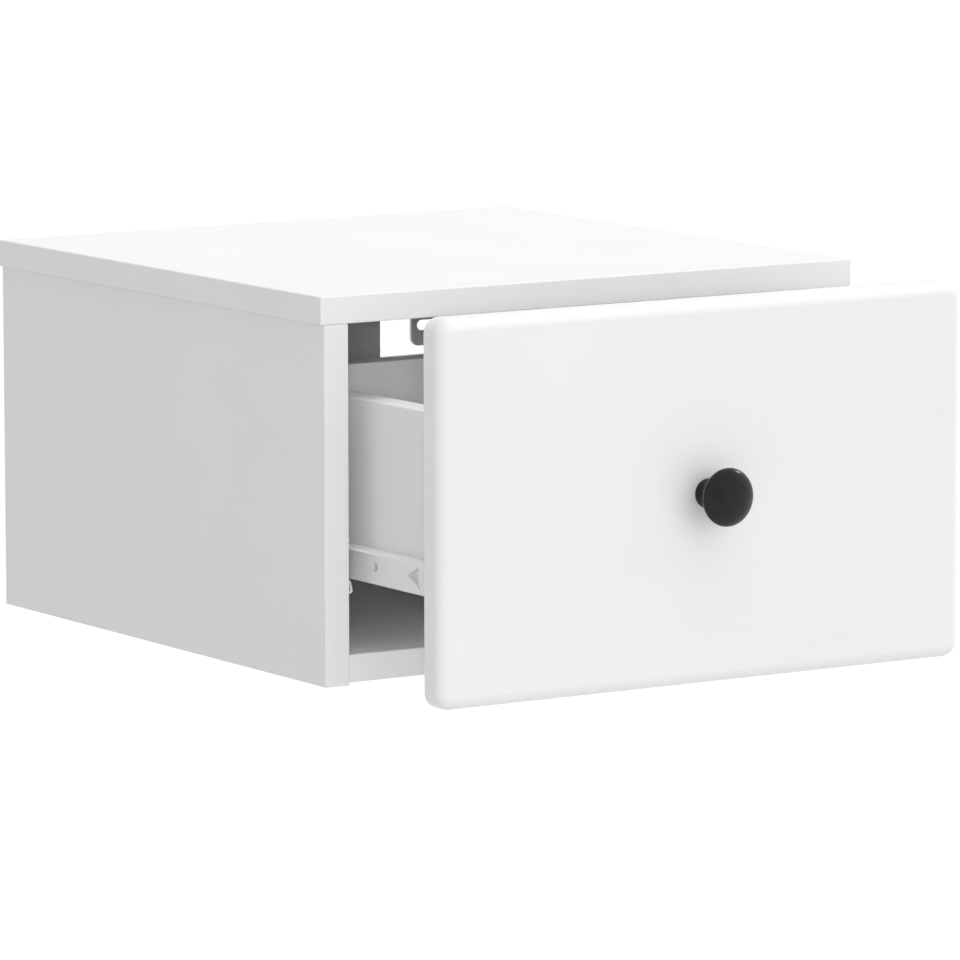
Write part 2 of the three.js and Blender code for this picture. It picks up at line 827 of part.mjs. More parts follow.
addPair(cabinet, "side_panel", sidePanel(), whiteBoard);
add(cabinet, "top_panel", topPanel(), whiteBoard);
add(cabinet, "bottom_panel", bottomPanel(), whiteBoard);
add(cabinet, "back_panel", backPanel(), whiteBoard);
topCams.forEach(({ lock, bolt }, i) => {
  addPair(cabinet, order[i] + "_top_cam_lock", lock, dieCastZinc);
  addPair(cabinet, order[i] + "_top_cam_bolt", bolt, platedSteel);
});
addPair(cabinet, "bottom_cam_lock", bottomCam.lock, dieCastZinc);
addPair(cabinet, "bottom_cam_bolt", bottomCam.bolt, platedSteel);
addPair(cabinet, "back_cam_lock", backCam.lock, dieCastZinc);
addPair(cabinet, "back_cam_bolt", backCam.bolt, platedSteel);
addPair(cabinet, "wall_bracket", wallBracket(), coatedSteel);
bracketScrews.forEach((start, i) => {
  const solid = screw(start, left, screwLength, panHeadHeight, false);
  addPair(cabinet, level[i] + "_bracket_screw", solid, platedSteel);
});
addPair(cabinet, "cabinet_runner", cabinetRunner(), coatedSteel);
cabinetRunnerScrews.forEach((start, i) => {
  const solid = screw(start, left, screwLength, runnerSteel, true);
  addPair(cabinet, order[i] + "_cabinet_runner_screw", solid, platedSteel);
});
addPair(
  cabinet,
  "front_roller",
  roller(point(rollerStart, frontRollerSetback, frontRollerHeight)),
  whiteNylon,
);
addPair(
  cabinet,
  "front_roller_axle",
  axle(
    point(frontAxleStart, frontRollerSetback, frontRollerHeight),
    left,
    frontAxleStart - cabinetWebFace - seatGap,
  ),
  platedSteel,
);

add(drawer, "drawer_front", drawerFront(), whiteLacquer);
addPair(drawer, "drawer_side", drawerSide(), whiteBoard);
add(drawer, "drawer_back", drawerBack(), whiteBoard);
add(drawer, "drawer_bottom", drawerPanel(), whitePanel);
addPair(drawer, "drawer_cam_lock", drawerCam.lock, dieCastZinc);
addPair(drawer, "drawer_cam_bolt", drawerCam.bolt, platedSteel);
addPair(
  drawer,
  "drawer_back_screw",
  screw(drawerBackScrew, right, backScrewLength, screwHeadRadius / 2, true),
  platedSteel,
);
addPair(drawer, "drawer_runner", drawerRunner(), coatedSteel);
drawerRunnerScrews.forEach((start, i) => {
  const solid = screw(start, right, screwLength, runnerSteel, true);
  addPair(drawer, order[i] + "_drawer_runner_screw", solid, platedSteel);
});
addPair(
  drawer,
  "rear_roller",
  roller(point(rollerStart, rearRollerSetback, rearRollerHeight)),
  whiteNylon,
);
addPair(
  drawer,
  "rear_roller_axle",
  axle(
    point(rearAxleStart, rearRollerSetback, rearRollerHeight),
    right,
    drawerWebFace - rearAxleStart - seatGap,
  ),
  platedSteel,
);

const knobSeat = drawerFace - frontThickness - seatGap;
add(drawer, "knob", knob(knobSeat, knobHeight), blackLacquer);
add(
  drawer,
  "knob_bolt",
  screw(
    point(0, drawerFace + seatGap + knobBoltHeadHeight, knobHeight),
    forward,
    knobBoltHeadHeight + frontThickness + knobBoltGrip,
    knobBoltHeadHeight,
    false,
    knobBoltRadius,
    knobBoltHeadRadius,
  ),
  platedSteel,
);

drawer.position.y = -drawerOpening;

const nightstand = new THREE.Group();
nightstand.name = "floating_nightstand";
nightstand.add(cabinet, drawer);
nightstand.position.set(0, -cabinetDepth, -cabinetHeight / 2);

const root = new THREE.Group();
root.add(nightstand);

export default root;
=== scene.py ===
# %% [markdown]
# # A floating nightstand with one drawer
#
# The object is a small white cabinet that hangs on a wall. Its drawer stands part of the way out,
# on a pair of steel roller runners, and has one black knob. The boards, runners and fittings come
# from a CAD model that is already packed, so they are loaded first and never moved. The rest of
# this file sets up the camera and the light, makes the finishes, and makes a finer copy of every
# piece.

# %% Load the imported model
import json
import math

import bmesh
import bpy
from mathutils import Matrix, Vector

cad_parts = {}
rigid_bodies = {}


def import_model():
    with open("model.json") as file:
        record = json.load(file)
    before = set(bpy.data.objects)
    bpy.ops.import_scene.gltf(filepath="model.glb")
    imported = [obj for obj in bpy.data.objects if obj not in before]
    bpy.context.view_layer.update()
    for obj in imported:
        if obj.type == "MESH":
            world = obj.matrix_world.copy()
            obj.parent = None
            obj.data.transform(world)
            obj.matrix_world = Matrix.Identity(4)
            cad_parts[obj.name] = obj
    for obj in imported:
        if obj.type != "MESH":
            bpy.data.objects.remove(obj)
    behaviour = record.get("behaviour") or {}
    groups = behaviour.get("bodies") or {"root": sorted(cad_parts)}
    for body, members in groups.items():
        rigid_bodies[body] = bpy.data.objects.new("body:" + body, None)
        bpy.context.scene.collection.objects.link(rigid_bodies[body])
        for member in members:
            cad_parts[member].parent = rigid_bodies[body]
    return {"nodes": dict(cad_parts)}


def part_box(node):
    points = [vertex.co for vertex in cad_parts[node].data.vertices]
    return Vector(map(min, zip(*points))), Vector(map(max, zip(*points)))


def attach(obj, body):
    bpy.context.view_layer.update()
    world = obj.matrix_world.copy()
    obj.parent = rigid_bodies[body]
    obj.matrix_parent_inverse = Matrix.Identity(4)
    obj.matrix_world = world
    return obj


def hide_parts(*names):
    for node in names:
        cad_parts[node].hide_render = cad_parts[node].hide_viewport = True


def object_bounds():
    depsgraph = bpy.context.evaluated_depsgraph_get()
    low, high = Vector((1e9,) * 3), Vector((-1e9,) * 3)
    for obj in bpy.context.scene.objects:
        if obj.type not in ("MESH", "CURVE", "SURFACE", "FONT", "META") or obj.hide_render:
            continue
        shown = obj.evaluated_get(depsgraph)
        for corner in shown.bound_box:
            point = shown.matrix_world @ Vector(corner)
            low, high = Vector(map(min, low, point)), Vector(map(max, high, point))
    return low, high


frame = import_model()
cad_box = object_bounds()
mm = 0.001
print("CAD box in mm:", [[round(c / mm, 1) for c in corner] for corner in cad_box])

# %% [markdown]
# ## The camera
#
# The photograph was taken from the front left, a little above the cabinet, with a very long lens:
# edges that run away from the camera hardly come together. Such a view could be set by eye, but a
# fit is more exact. The ends of nineteen edges were measured in the photograph and a camera was
# solved for that sees the CAD model's edges in the same places. It has no lens shift, so the same
# camera can be carried round the object for other views.

# %% Camera
camera_place = Vector((-2.1587, -3.6001, 0.5337))
camera_turn = math.radians(32.678)  # to the right of straight ahead
camera_dip = math.radians(7.864)
camera_roll = math.radians(0.099)
focal_pixels = 7349.2
picture_pixels = 960

camera_data = bpy.data.cameras.new("camera")
camera_data.sensor_fit = "HORIZONTAL"
camera_data.sensor_width = 36
camera_data.lens = focal_pixels / picture_pixels * camera_data.sensor_width
camera_data.clip_start = 0.1
camera_data.clip_end = 60
camera = bpy.data.objects.new("camera", camera_data)
camera.location = camera_place
camera.rotation_mode = "QUATERNION"
camera.rotation_quaternion = (
    Matrix.Rotation(-camera_turn, 3, "Z")
    @ Matrix.Rotation(math.pi / 2 - camera_dip, 3, "X")
    @ Matrix.Rotation(-camera_roll, 3, "Z")
).to_quaternion()
scene_objects = bpy.context.scene.collection.objects
scene_objects.link(camera)
bpy.context.scene.camera = camera
print("lens of", round(camera_data.lens), "mm, from", round(camera_place.length, 2), "m away")

# %% [markdown]
# ## The lamps
#
# In the photograph the top is nearly white, the drawer front a little darker and the left side a
# plain light grey. Shadows are soft everywhere, even round the knob. The small highlight on the
# knob tells where a small key lamp stands: high up at the right. The back panel, deep inside the
# cabinet, is lighter than light from the sides could make it, so a fill lamp stands at the camera.
# Point lamps would throw hard shadows, so both lamps are discs. The fill lamp is kept out of
# reflections, or the knob would show a second highlight.

# %% Lamps
def area_lamp(name, place, target, size, power):
    data = bpy.data.lights.new(name, "AREA")
    data.shape = "DISK"
    data.size = size
    data.energy = power
    lamp = bpy.data.objects.new(name, data)
    lamp.location = place
    lamp.rotation_mode = "QUATERNION"
    lamp.rotation_quaternion = (target - place).to_track_quat("-Z", "Y")
    scene_objects.link(lamp)
    return lamp


middle = Vector((0, -0.22, 0))
key_way = Vector((0.8, -0.09, 0.59)).normalized()
key_distance = 3.0
key_place = middle + key_way * key_distance
key_lamp = area_lamp("key_lamp", key_place, middle, size=0.45, power=16)
fill_lamp = area_lamp("fill_lamp", camera_place, middle, size=0.4, power=22)
fill_lamp.visible_glossy = False
print("lamps: key", key_lamp.data.energy, "W, fill", fill_lamp.data.energy, "W")

# %% [markdown]
# ## Soft light from six directions
#
# Everything else is the light of large soft lamps all around. Those could be big area lamps, but
# they would show as bright shapes in the knob. So the world's light is stronger in six directions
# instead. Each is a glow that fades as a power of the cosine, and its strength was solved from how
# light or dark each surface of the photograph is.

# %% Soft lights
world = bpy.data.worlds.new("studio")
bpy.context.scene.world = world
world.use_nodes = True
studio = world.node_tree
studio.nodes.clear()
# degrees from the front towards the right, degrees up, how narrow, how strong
soft_lights = [
    (0, 5, 6, 2.1),
    (180, 5, 6, 1.9),
    (90, 35, 6, 1.45),
    (-90, 35, 6, 0.58),
    (0, 60, 10, 0.8),
    (0, 90, 10, 2.0),
]


def calculate(tree, operation, first, second):
    step = tree.nodes.new("ShaderNodeMath")
    step.operation = operation
    tree.links.new(first, step.inputs[0])
    if isinstance(second, (int, float)):
        step.inputs[1].default_value = second
    else:
        tree.links.new(second, step.inputs[1])
    return step.outputs[0]


look_way = studio.nodes.new("ShaderNodeTexCoord").outputs["Generated"]
glow_sum = None
for round_angle, up_angle, narrowness, strength in soft_lights:
    around, above = math.radians(round_angle), math.radians(up_angle)
    level = math.cos(above)
    nearness = studio.nodes.new("ShaderNodeVectorMath")
    nearness.operation = "DOT_PRODUCT"
    nearness.inputs[1].default_value = (
        math.sin(around) * level, -math.cos(around) * level, math.sin(above)
    )
    studio.links.new(look_way, nearness.inputs[0])
    facing = calculate(studio, "MAXIMUM", nearness.outputs["Value"], 0)
    lobe = calculate(studio, "POWER", facing, narrowness)
    lobe = calculate(studio, "MULTIPLY", lobe, strength)
    glow_sum = lobe if glow_sum is None else calculate(studio, "ADD", glow_sum, lobe)
print("soft lights:", len(soft_lights))

# %% [markdown]
# ## The backdrop
#
# The photograph's background is plain white. A world as bright as that would light the object too.
# So the white is there only where the world is looked at: straight, in a reflection, or through
# something clear. The Light Path node tells such rays from those that carry light to the object,
# and those get the soft lights.

# %% Backdrop
def looked_at(tree):
    path = tree.nodes.new("ShaderNodeLightPath").outputs
    seen = calculate(tree, "MAXIMUM", path["Is Camera Ray"], path["Is Glossy Ray"])
    return calculate(tree, "MAXIMUM", seen, path["Is Transmission Ray"])


room = studio.nodes.new("ShaderNodeBackground")
room.inputs["Color"].default_value = (0.98, 0.995, 1.01, 1)  # a trace cooler than white
studio.links.new(glow_sum, room.inputs["Strength"])
backdrop = studio.nodes.new("ShaderNodeBackground")
backdrop.inputs["Color"].default_value = (1, 1, 1, 1)
backdrop.inputs["Strength"].default_value = 1.0
choose = studio.nodes.new("ShaderNodeMixShader")
world_out = studio.nodes.new("ShaderNodeOutputWorld")
studio.links.new(looked_at(studio), choose.inputs["Fac"])
studio.links.new(room.outputs[0], choose.inputs[1])
studio.links.new(backdrop.outputs[0], choose.inputs[2])
studio.links.new(choose.outputs[0], world_out.inputs["Surface"])
bpy.context.scene.view_settings.view_transform = "Standard"
print("backdrop ready, view transform:", bpy.context.scene.view_settings.view_transform)

# %% [markdown]
# ## The floor
#
# The cabinet hangs at the height of a bed, so the floor lies well below it and the shadow falls out
# of the picture. A floor could be lit until it is white, but that light would bounce up to the
# object. Here the pale floor glows a little, only where it is looked at. It still darkens where the
# object's shadow falls.

# %% Floor
hanging_height = 0.42
floor_half = 30
floor_level = cad_box[0].z - hanging_height
square_corners = ((-1, -1), (1, -1), (1, 1), (-1, 1))
floor_corners = [(x * floor_half, y * floor_half, floor_level) for x, y in square_corners]
floor_mesh = bpy.data.meshes.new("floor")
floor_mesh.from_pydata(floor_corners, [], [(0, 1, 2, 3)])
floor = bpy.data.objects.new("floor", floor_mesh)
scene_objects.link(floor)

floor_paint = bpy.data.materials.new("pale_floor")
floor_paint.use_nodes = True
floor_tree = floor_paint.node_tree
floor_tree.nodes.clear()
matt = floor_tree.nodes.new("ShaderNodeBsdfDiffuse")
matt.inputs["Color"].default_value = (0.65, 0.65, 0.65, 1)
glow = floor_tree.nodes.new("ShaderNodeEmission")
glow.inputs["Strength"].default_value = 0.45
no_glow = floor_tree.nodes.new("ShaderNodeEmission")
no_glow.inputs["Strength"].default_value = 0
whiten = floor_tree.nodes.new("ShaderNodeMixShader")
floor_sum = floor_tree.nodes.new("ShaderNodeAddShader")
floor_out = floor_tree.nodes.new("ShaderNodeOutputMaterial")
floor_tree.links.new(looked_at(floor_tree), whiten.inputs["Fac"])
floor_tree.links.new(no_glow.outputs[0], whiten.inputs[1])
floor_tree.links.new(glow.outputs[0], whiten.inputs[2])
floor_tree.links.new(matt.outputs[0], floor_sum.inputs[0])
floor_tree.links.new(whiten.outputs[0], floor_sum.inputs[1])
floor_tree.links.new(floor_sum.outputs[0], floor_out.inputs["Surface"])
floor_mesh.materials.append(floor_paint)
print("floor", round(hanging_height / mm), "mm below the cabinet")

# %% [markdown]
# ## Helpers for finishes
#
# Every finish here is made of nodes, so that it looks right at any distance and needs no pictures.
# Three things recur: a colour that drifts slightly over the surface, a roughness that does the
# same, and a fine relief. They could be drawn in each material anew, but a helper keeps them alike.
# Noise is read in object coordinates, which are metres here, so a scale of 1000 means about one
# blotch to a millimetre.

# %% Finish helpers
noise_low, noise_high = 0.3, 0.7  # a noise rarely leaves this range


def new_finish(name, roughness, metallic=0.0, specular=0.5, coat=0.0, coat_roughness=0.1):
    material = bpy.data.materials.new(name)
    material.use_nodes = True
    shader = material.node_tree.nodes["Principled BSDF"]
    shader.inputs["Roughness"].default_value = roughness
    shader.inputs["Metallic"].default_value = metallic
    shader.inputs["Specular IOR Level"].default_value = specular
    shader.inputs["Coat Weight"].default_value = coat
    shader.inputs["Coat Roughness"].default_value = coat_roughness
    return material, shader


def noise(material, scale, detail=2.0, stretch=None):
    nodes, links = material.node_tree.nodes, material.node_tree.links
    source = nodes.new("ShaderNodeTexCoord").outputs["Object"]
    if stretch:
        squeeze = nodes.new("ShaderNodeMapping")
        squeeze.inputs["Scale"].default_value = stretch
        links.new(source, squeeze.inputs["Vector"])
        source = squeeze.outputs["Vector"]
    cloud = nodes.new("ShaderNodeTexNoise")
    cloud.inputs["Scale"].default_value = scale
    cloud.inputs["Detail"].default_value = detail
    links.new(source, cloud.inputs["Vector"])
    return cloud.outputs["Fac"]


def vary_colour(material, shader, source, dark, light):
    nodes, links = material.node_tree.nodes, material.node_tree.links
    between = nodes.new("ShaderNodeValToRGB")
    first, last = between.color_ramp.elements
    first.position, last.position = noise_low, noise_high
    first.color, last.color = (*dark, 1), (*light, 1)
    links.new(source, between.inputs["Fac"])
    links.new(between.outputs["Color"], shader.inputs["Base Color"])


def vary_roughness(material, shader, source, smoothest, roughest):
    nodes, links = material.node_tree.nodes, material.node_tree.links
    spread = nodes.new("ShaderNodeMapRange")
    spread.inputs["From Min"].default_value = noise_low
    spread.inputs["From Max"].default_value = noise_high
    spread.inputs["To Min"].default_value = smoothest
    spread.inputs["To Max"].default_value = roughest
    links.new(source, spread.inputs["Value"])
    links.new(spread.outputs["Result"], shader.inputs["Roughness"])


def add_relief(material, shader, source, height, strength):
    nodes, links = material.node_tree.nodes, material.node_tree.links
    relief = nodes.new("ShaderNodeBump")
    relief.inputs["Distance"].default_value = height
    relief.inputs["Strength"].default_value = strength
    links.new(source, relief.inputs["Height"])
    links.new(relief.outputs["Normal"], shader.inputs["Normal"])


def grey(level, warmth=0.0):
    return (level * (1 + warmth), level, level * (1 - warmth))


print("helpers for finishes ready, noise taken from", noise_low, "to", noise_high)

# %% [markdown]
# ## White melamine
#
# The cabinet's boards and the drawer's are chipboard faced with a hard white paper soaked in resin,
# pressed against a steel plate with a fine pearl grain. A flat white would look like plastic or
# plaster. So the grain is a fine noise used as a shallow relief, and a much larger, very faint
# noise makes the white drift, as pressed boards do.

# %% Board finish
white_board, board_shader = new_finish("white_board", 0.42, specular=0.2)
vary_colour(white_board, board_shader, noise(white_board, 14, 3), grey(0.885), grey(0.905))
pearl_grain = noise(white_board, 900, 3)
vary_roughness(white_board, board_shader, pearl_grain, 0.38, 0.5)
add_relief(white_board, board_shader, pearl_grain, 0.05 * mm, 0.35)
print("white_board made")

# %% [markdown]
# ## White foil on the drawer front
#
# The drawer front is milled from fibreboard and wrapped in a smooth foil that runs round its edges.
# It is smoother than the boards and shows a soft sheen on its rounded rim. A thin clear coat over a
# matt base gives that sheen, and a weak, slow waviness keeps the reflections from being perfect.

# %% Drawer front finish
white_lacquer, front_shader = new_finish(
    "white_lacquer", 0.36, specular=0.25, coat=0.15, coat_roughness=0.22
)
vary_colour(white_lacquer, front_shader, noise(white_lacquer, 9, 2), grey(0.885), grey(0.9))
foil_wave = noise(white_lacquer, 160, 2)
vary_roughness(white_lacquer, front_shader, foil_wave, 0.32, 0.4)
add_relief(white_lacquer, front_shader, foil_wave, 0.06 * mm, 0.25)
print("white_lacquer made")

# %% [markdown]
# ## White fibreboard
#
# The drawer's bottom is a thin hard board with a painted upper side. It is duller than the other
# boards and its fibres show as a fine fleck. Two noises do that: one for the flecks and one for the
# paint.

# %% Drawer bottom finish
white_fibreboard, fibre_shader = new_finish("white_fibreboard", 0.6, specular=0.35)
fibre_flecks = noise(white_fibreboard, 420, 4, stretch=(1, 3, 1))
vary_colour(white_fibreboard, fibre_shader, fibre_flecks, grey(0.8, 0.01), grey(0.84, 0.006))
vary_roughness(white_fibreboard, fibre_shader, noise(white_fibreboard, 30), 0.55, 0.68)
add_relief(white_fibreboard, fibre_shader, fibre_flecks, 0.08 * mm, 0.4)
print("white_fibreboard made")

# %% [markdown]
# ## Powder-coated steel
#
# The runners and the wall brackets are folded steel, sprayed with a dry white powder and baked. The
# melted powder leaves a slight orange peel, which is a rounded noise of about two millimetres. A
# Voronoi texture could give the same dimples but with sharper rims, so noise with little detail is
# the better match.

# %% Runner and bracket finish
coated_steel, coat_shader = new_finish("coated_steel", 0.36, specular=0.3)
vary_colour(coated_steel, coat_shader, noise(coated_steel, 40), grey(0.935), grey(0.955))
orange_peel = noise(coated_steel, 520, 1)
vary_roughness(coated_steel, coat_shader, orange_peel, 0.32, 0.44)
add_relief(coated_steel, coat_shader, orange_peel, 0.08 * mm, 0.35)
print("coated_steel made")

# %% [markdown]
# ## Zinc-plated steel
#
# The screws, rivets and bolts are plated with zinc. Plated steel is grey with a faint bluish and
# yellowish drift, and its gloss is broken by fine lines from rolling. A noise that is stretched
# along one direction draws those lines, where a bitmap of scratches would repeat.

# %% Plated steel finish
plated_steel, plate_shader = new_finish("plated_steel", 0.34, metallic=1.0)
plate_drift = noise(plated_steel, 60, 3)
vary_colour(plated_steel, plate_shader, plate_drift, (0.44, 0.46, 0.48), (0.6, 0.6, 0.575))
rolling_lines = noise(plated_steel, 900, 3, stretch=(1, 1, 0.06))
vary_roughness(plated_steel, plate_shader, rolling_lines, 0.27, 0.42)
add_relief(plated_steel, plate_shader, rolling_lines, 0.03 * mm, 0.3)
print("plated_steel made")

# %% [markdown]
# ## Die-cast zinc
#
# The cams that pull the boards together are cast. The skin of a casting is darker and blotchier
# than plating, with a sandy surface, so the noise is coarser and the roughness higher.

# %% Casting finish
cast_zinc, cast_shader = new_finish("cast_zinc", 0.5, metallic=0.9)
cast_skin = noise(cast_zinc, 700, 5)
cast_blotches = noise(cast_zinc, 160, 4)
vary_colour(cast_zinc, cast_shader, cast_blotches, (0.3, 0.305, 0.31), (0.42, 0.42, 0.415))
vary_roughness(cast_zinc, cast_shader, cast_skin, 0.42, 0.6)
add_relief(cast_zinc, cast_shader, cast_skin, 0.08 * mm, 0.5)
print("cast_zinc made")

# %% [markdown]
# ## White nylon
#
# The rollers are moulded nylon: milky, a little yellow and slightly see-through at the rim. A touch
# of subsurface scattering gives the milkiness. Its radius is about a millimetre, and it is set on
# the shader's own sockets.

# %% Roller finish
white_nylon, nylon_shader = new_finish("white_nylon", 0.45, specular=0.45)
nylon_drift = noise(white_nylon, 120, 3)
vary_colour(white_nylon, nylon_shader, nylon_drift, (0.76, 0.755, 0.72), (0.82, 0.815, 0.79))
nylon_shader.inputs["Subsurface Weight"].default_value = 0.15
nylon_shader.inputs["Subsurface Radius"].default_value = (1 * mm, 1 * mm, 0.8 * mm)
moulding = noise(white_nylon, 600, 2)
vary_roughness(white_nylon, nylon_shader, moulding, 0.4, 0.52)
add_relief(white_nylon, nylon_shader, moulding, 0.04 * mm, 0.3)
print("white_nylon made")

# %% [markdown]
# ## Black lacquer
#
# The knob is sprayed black. The photograph shows a satin gloss: a small highlight at the upper
# right of the head and a soft streak along its right rim, over a black that is really a very dark
# grey. A glossy black would mirror the white room and look grey. So the base is nearly black with
# little gloss of its own, and a thin, fairly smooth coat gives the highlight.

# %% Knob finish
black_lacquer, knob_shader = new_finish(
    "black_lacquer", 0.38, specular=0.05, coat=0.8, coat_roughness=0.2
)
knob_shader.inputs["Coat IOR"].default_value = 1.3
spray = noise(black_lacquer, 1400, 3)
vary_colour(black_lacquer, knob_shader, noise(black_lacquer, 90, 3), grey(0.008), grey(0.014))
vary_roughness(black_lacquer, knob_shader, spray, 0.33, 0.45)
add_relief(black_lacquer, knob_shader, spray, 0.03 * mm, 0.3)
print("black_lacquer made")

# %% [markdown]
# ## Finishes on the CAD pieces
#
# Each CAD piece carries a plain material with the name of its finish in the record. A piece could
# be painted one at a time, but with those names the plain materials are simply swapped for the ones
# above.

# %% Put the finishes on
finishes = {
    "white_board": white_board,
    "white_lacquer": white_lacquer,
    "white_fibreboard": white_fibreboard,
    "coated_steel": coated_steel,
    "plated_steel": plated_steel,
    "cast_zinc": cast_zinc,
    "white_nylon": white_nylon,
    "black_lacquer": black_lacquer,
}
finish_counts = dict.fromkeys(finishes, 0)
for node in frame["nodes"].values():
    plain = node.data.materials[0].name.split(".")[0]  # without a number that Blender may add
    finish_counts[plain] += 1
    node.data.materials[0] = finishes[plain]
print(finish_counts)

# %% [markdown]
# ## Plain solids
#
# The pieces below start from three workshop solids: a block, a skin stretched over a row of equal
# outlines, and a solid turned from a profile. Blender's own primitives could be scaled to size, but
# a few lines of mesh code give the exact corners that the CAD pieces have. Profiles for turning are
# pairs of radius and distance along the axis.

# %% Solids from mesh code
right, forward, up = Vector((1, 0, 0)), Vector((0, -1, 0)), Vector((0, 0, 1))
left, backward, down = -right, -forward, -up


def block(low, high):
    bm = bmesh.new()
    bmesh.ops.create_cube(bm, size=1)
    for vert in bm.verts:
        vert.co = Vector((low[i] + (vert.co[i] + 0.5) * (high[i] - low[i]) for i in range(3)))
    return bm


def skin(loops):
    bm = bmesh.new()
    rows = [[bm.verts.new(place) for place in loop] for loop in loops]
    for near, far in zip(rows, rows[1:]):
        for i in range(len(near)):
            j = (i + 1) % len(near)
            bm.faces.new((near[i], near[j], far[j], far[i]))
    bm.faces.new(rows[0][::-1])
    bm.faces.new(rows[-1])
    return bm


def turned(profile, start, along, sides=48, closed=False):
    bm = bmesh.new()
    across = along.orthogonal().normalized()
    other = along.cross(across)
    rows = []
    for radius, distance in profile:
        ring_centre = start + along * distance
        row = []
        for i in range(sides if radius else 1):
            t = 2 * math.pi * i / sides
            spoke = across * math.cos(t) + other * math.sin(t)
            row.append(bm.verts.new(ring_centre + spoke * radius))
        rows.append(row)
    pairs = list(zip(rows, rows[1:]))
    if closed:
        pairs.append((rows[-1], rows[0]))
    for near, far in pairs:
        for i in range(sides):
            j = (i + 1) % sides
            ring = (near[i % len(near)], near[j % len(near)], far[j % len(far)], far[i % len(far)])
            corners = list(dict.fromkeys(ring))
            if len(corners) > 2:
                bm.faces.new(corners)
    return bm


def drill(start, along, radius, depth, sides=40):
    return turned([(0, 0), (radius, 0), (radius, depth), (0, depth)], start, along, sides)


print("solids ready: block, skin, turned, drill")

# %% [markdown]
# ## Cutting and easing
#
# A real board is sawn, drilled and then eased along its edges. Modifiers for that could be left on
# the pieces, but cuts and bevels are baked at once, so that each mesh is what it looks like. Only
# the modifier that evens out the shading stays. Faces cut open show the finish of the cutter, which
# is how raw chipboard gets into the holes.

# %% Cut, soften and smooth
def new_object(name, bm, finish):
    bmesh.ops.recalc_face_normals(bm, faces=bm.faces[:])
    mesh = bpy.data.meshes.new(name)
    bm.to_mesh(mesh)
    bm.free()
    mesh.materials.append(finish)
    made = bpy.data.objects.new(name, mesh)
    scene_objects.link(made)
    return made


def bake(piece):
    graph = bpy.context.evaluated_depsgraph_get()
    baked = bpy.data.meshes.new_from_object(piece.evaluated_get(graph))
    piece.modifiers.clear()
    piece.data = baked
    piece.data.name = piece.name


def join(parts):
    joined = bmesh.new()
    for part in parts:
        holder = bpy.data.meshes.new("holder")
        part.to_mesh(holder)
        part.free()
        joined.from_mesh(holder)
        bpy.data.meshes.remove(holder)
    return joined


def cut_away(piece, cutters, finish):
    tool = new_object("cutter", join(cutters), finish)
    cut = piece.modifiers.new("cut", "BOOLEAN")
    cut.object = tool
    cut.solver = "EXACT"
    cut.use_self = True
    cut.material_mode = "TRANSFER"
    bake(piece)
    bpy.data.objects.remove(tool)


def soften(piece, width, segments=2, angle=35):
    bevel = piece.modifiers.new("soften", "BEVEL")
    bevel.width = width
    bevel.segments = segments
    bevel.limit_method = "ANGLE"
    bevel.angle_limit = math.radians(angle)
    bake(piece)


def smooth(piece, angle=40):
    piece.data.polygons.foreach_set("use_smooth", [True] * len(piece.data.polygons))
    piece.data.set_sharp_from_angle(angle=math.radians(angle))
    even = piece.modifiers.new("even_shading", "WEIGHTED_NORMAL")
    even.keep_sharp = True


print("helpers for cutting and easing ready")

# %% [markdown]
# ## What each piece belongs to
#
# Every piece moves with one body of the CAD model and stands for one CAD piece, which is hidden.
# These two facts could be stated piece by piece, but one helper makes sure that none is forgotten.
# The right runners and the right bracket are mirror images of the left ones.

# %% Dress and mirror
def dress(piece, body, slot, *nodes):
    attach(piece, body)
    if nodes:
        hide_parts(*nodes)
    return piece


def mirror_of(piece):
    twin = piece.copy()
    twin.data = piece.data.copy()
    twin.name = piece.name.replace("left", "right")
    twin.data.transform(Matrix.Scale(-1, 4, (1, 0, 0)))
    twin.data.flip_normals()
    scene_objects.link(twin)
    return twin


def on_both_sides(*stems):
    return [f"{stem}_{side}" for stem in stems for side in ("left", "right")]


print("for example:", on_both_sides("wall_bracket"))

# %% [markdown]
# ## Raw chipboard
#
# Where a board is drilled, its core shows: pressed wood chips, tan and coarse. No hole is large, so
# two noises would be more than it needs: one serves for the chips' colour, gloss and relief.

# %% Chipboard finish
raw_chipboard, chip_shader = new_finish("raw_chipboard", 0.8, specular=0.2)
chips = noise(raw_chipboard, 520, 3, stretch=(1, 1, 2.5))
vary_colour(raw_chipboard, chip_shader, chips, (0.3, 0.19, 0.1), (0.56, 0.41, 0.25))
vary_roughness(raw_chipboard, chip_shader, chips, 0.7, 0.9)
add_relief(raw_chipboard, chip_shader, chips, 0.3 * mm, 0.6)
print("raw_chipboard made")

# %% [markdown]
# ## Where the fittings sit
#
# Each board has to be open where a bolt, cam or screw goes in. The places could be typed again, but
# the CAD pieces already hold them: the box around a fitting gives its middle, its axis and its
# radius. A cam is a flat drum, so its axis is its box's shortest side, and a bolt or screw lies
# along the longest.

# %% Sockets for the fittings
clearance = 0.3 * mm
screw_radius = 1.9  # in mm, as all profiles for turning are


def centre_of(node):
    low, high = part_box(node)
    return (low + high) / 2


def axis_of(node):
    low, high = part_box(node)
    size = high - low
    sides = sorted(range(3), key=lambda i: size[i])
    return sides[0] if "lock" in node else sides[2]


def socket(node):
    low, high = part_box(node)
    axis = axis_of(node)
    along = Vector([float(i == axis) for i in range(3)])
    length = high[axis] - low[axis] + 4 * clearance
    if "screw" in node:
        radius = screw_radius * mm
    else:
        radius = max((high[i] - low[i]) / 2 for i in range(3) if i != axis)
    return drill(centre_of(node) - along * (length / 2), along, radius + clearance, length)


print("axis of a cam:", "XYZ"[axis_of("bottom_cam_lock_left")])

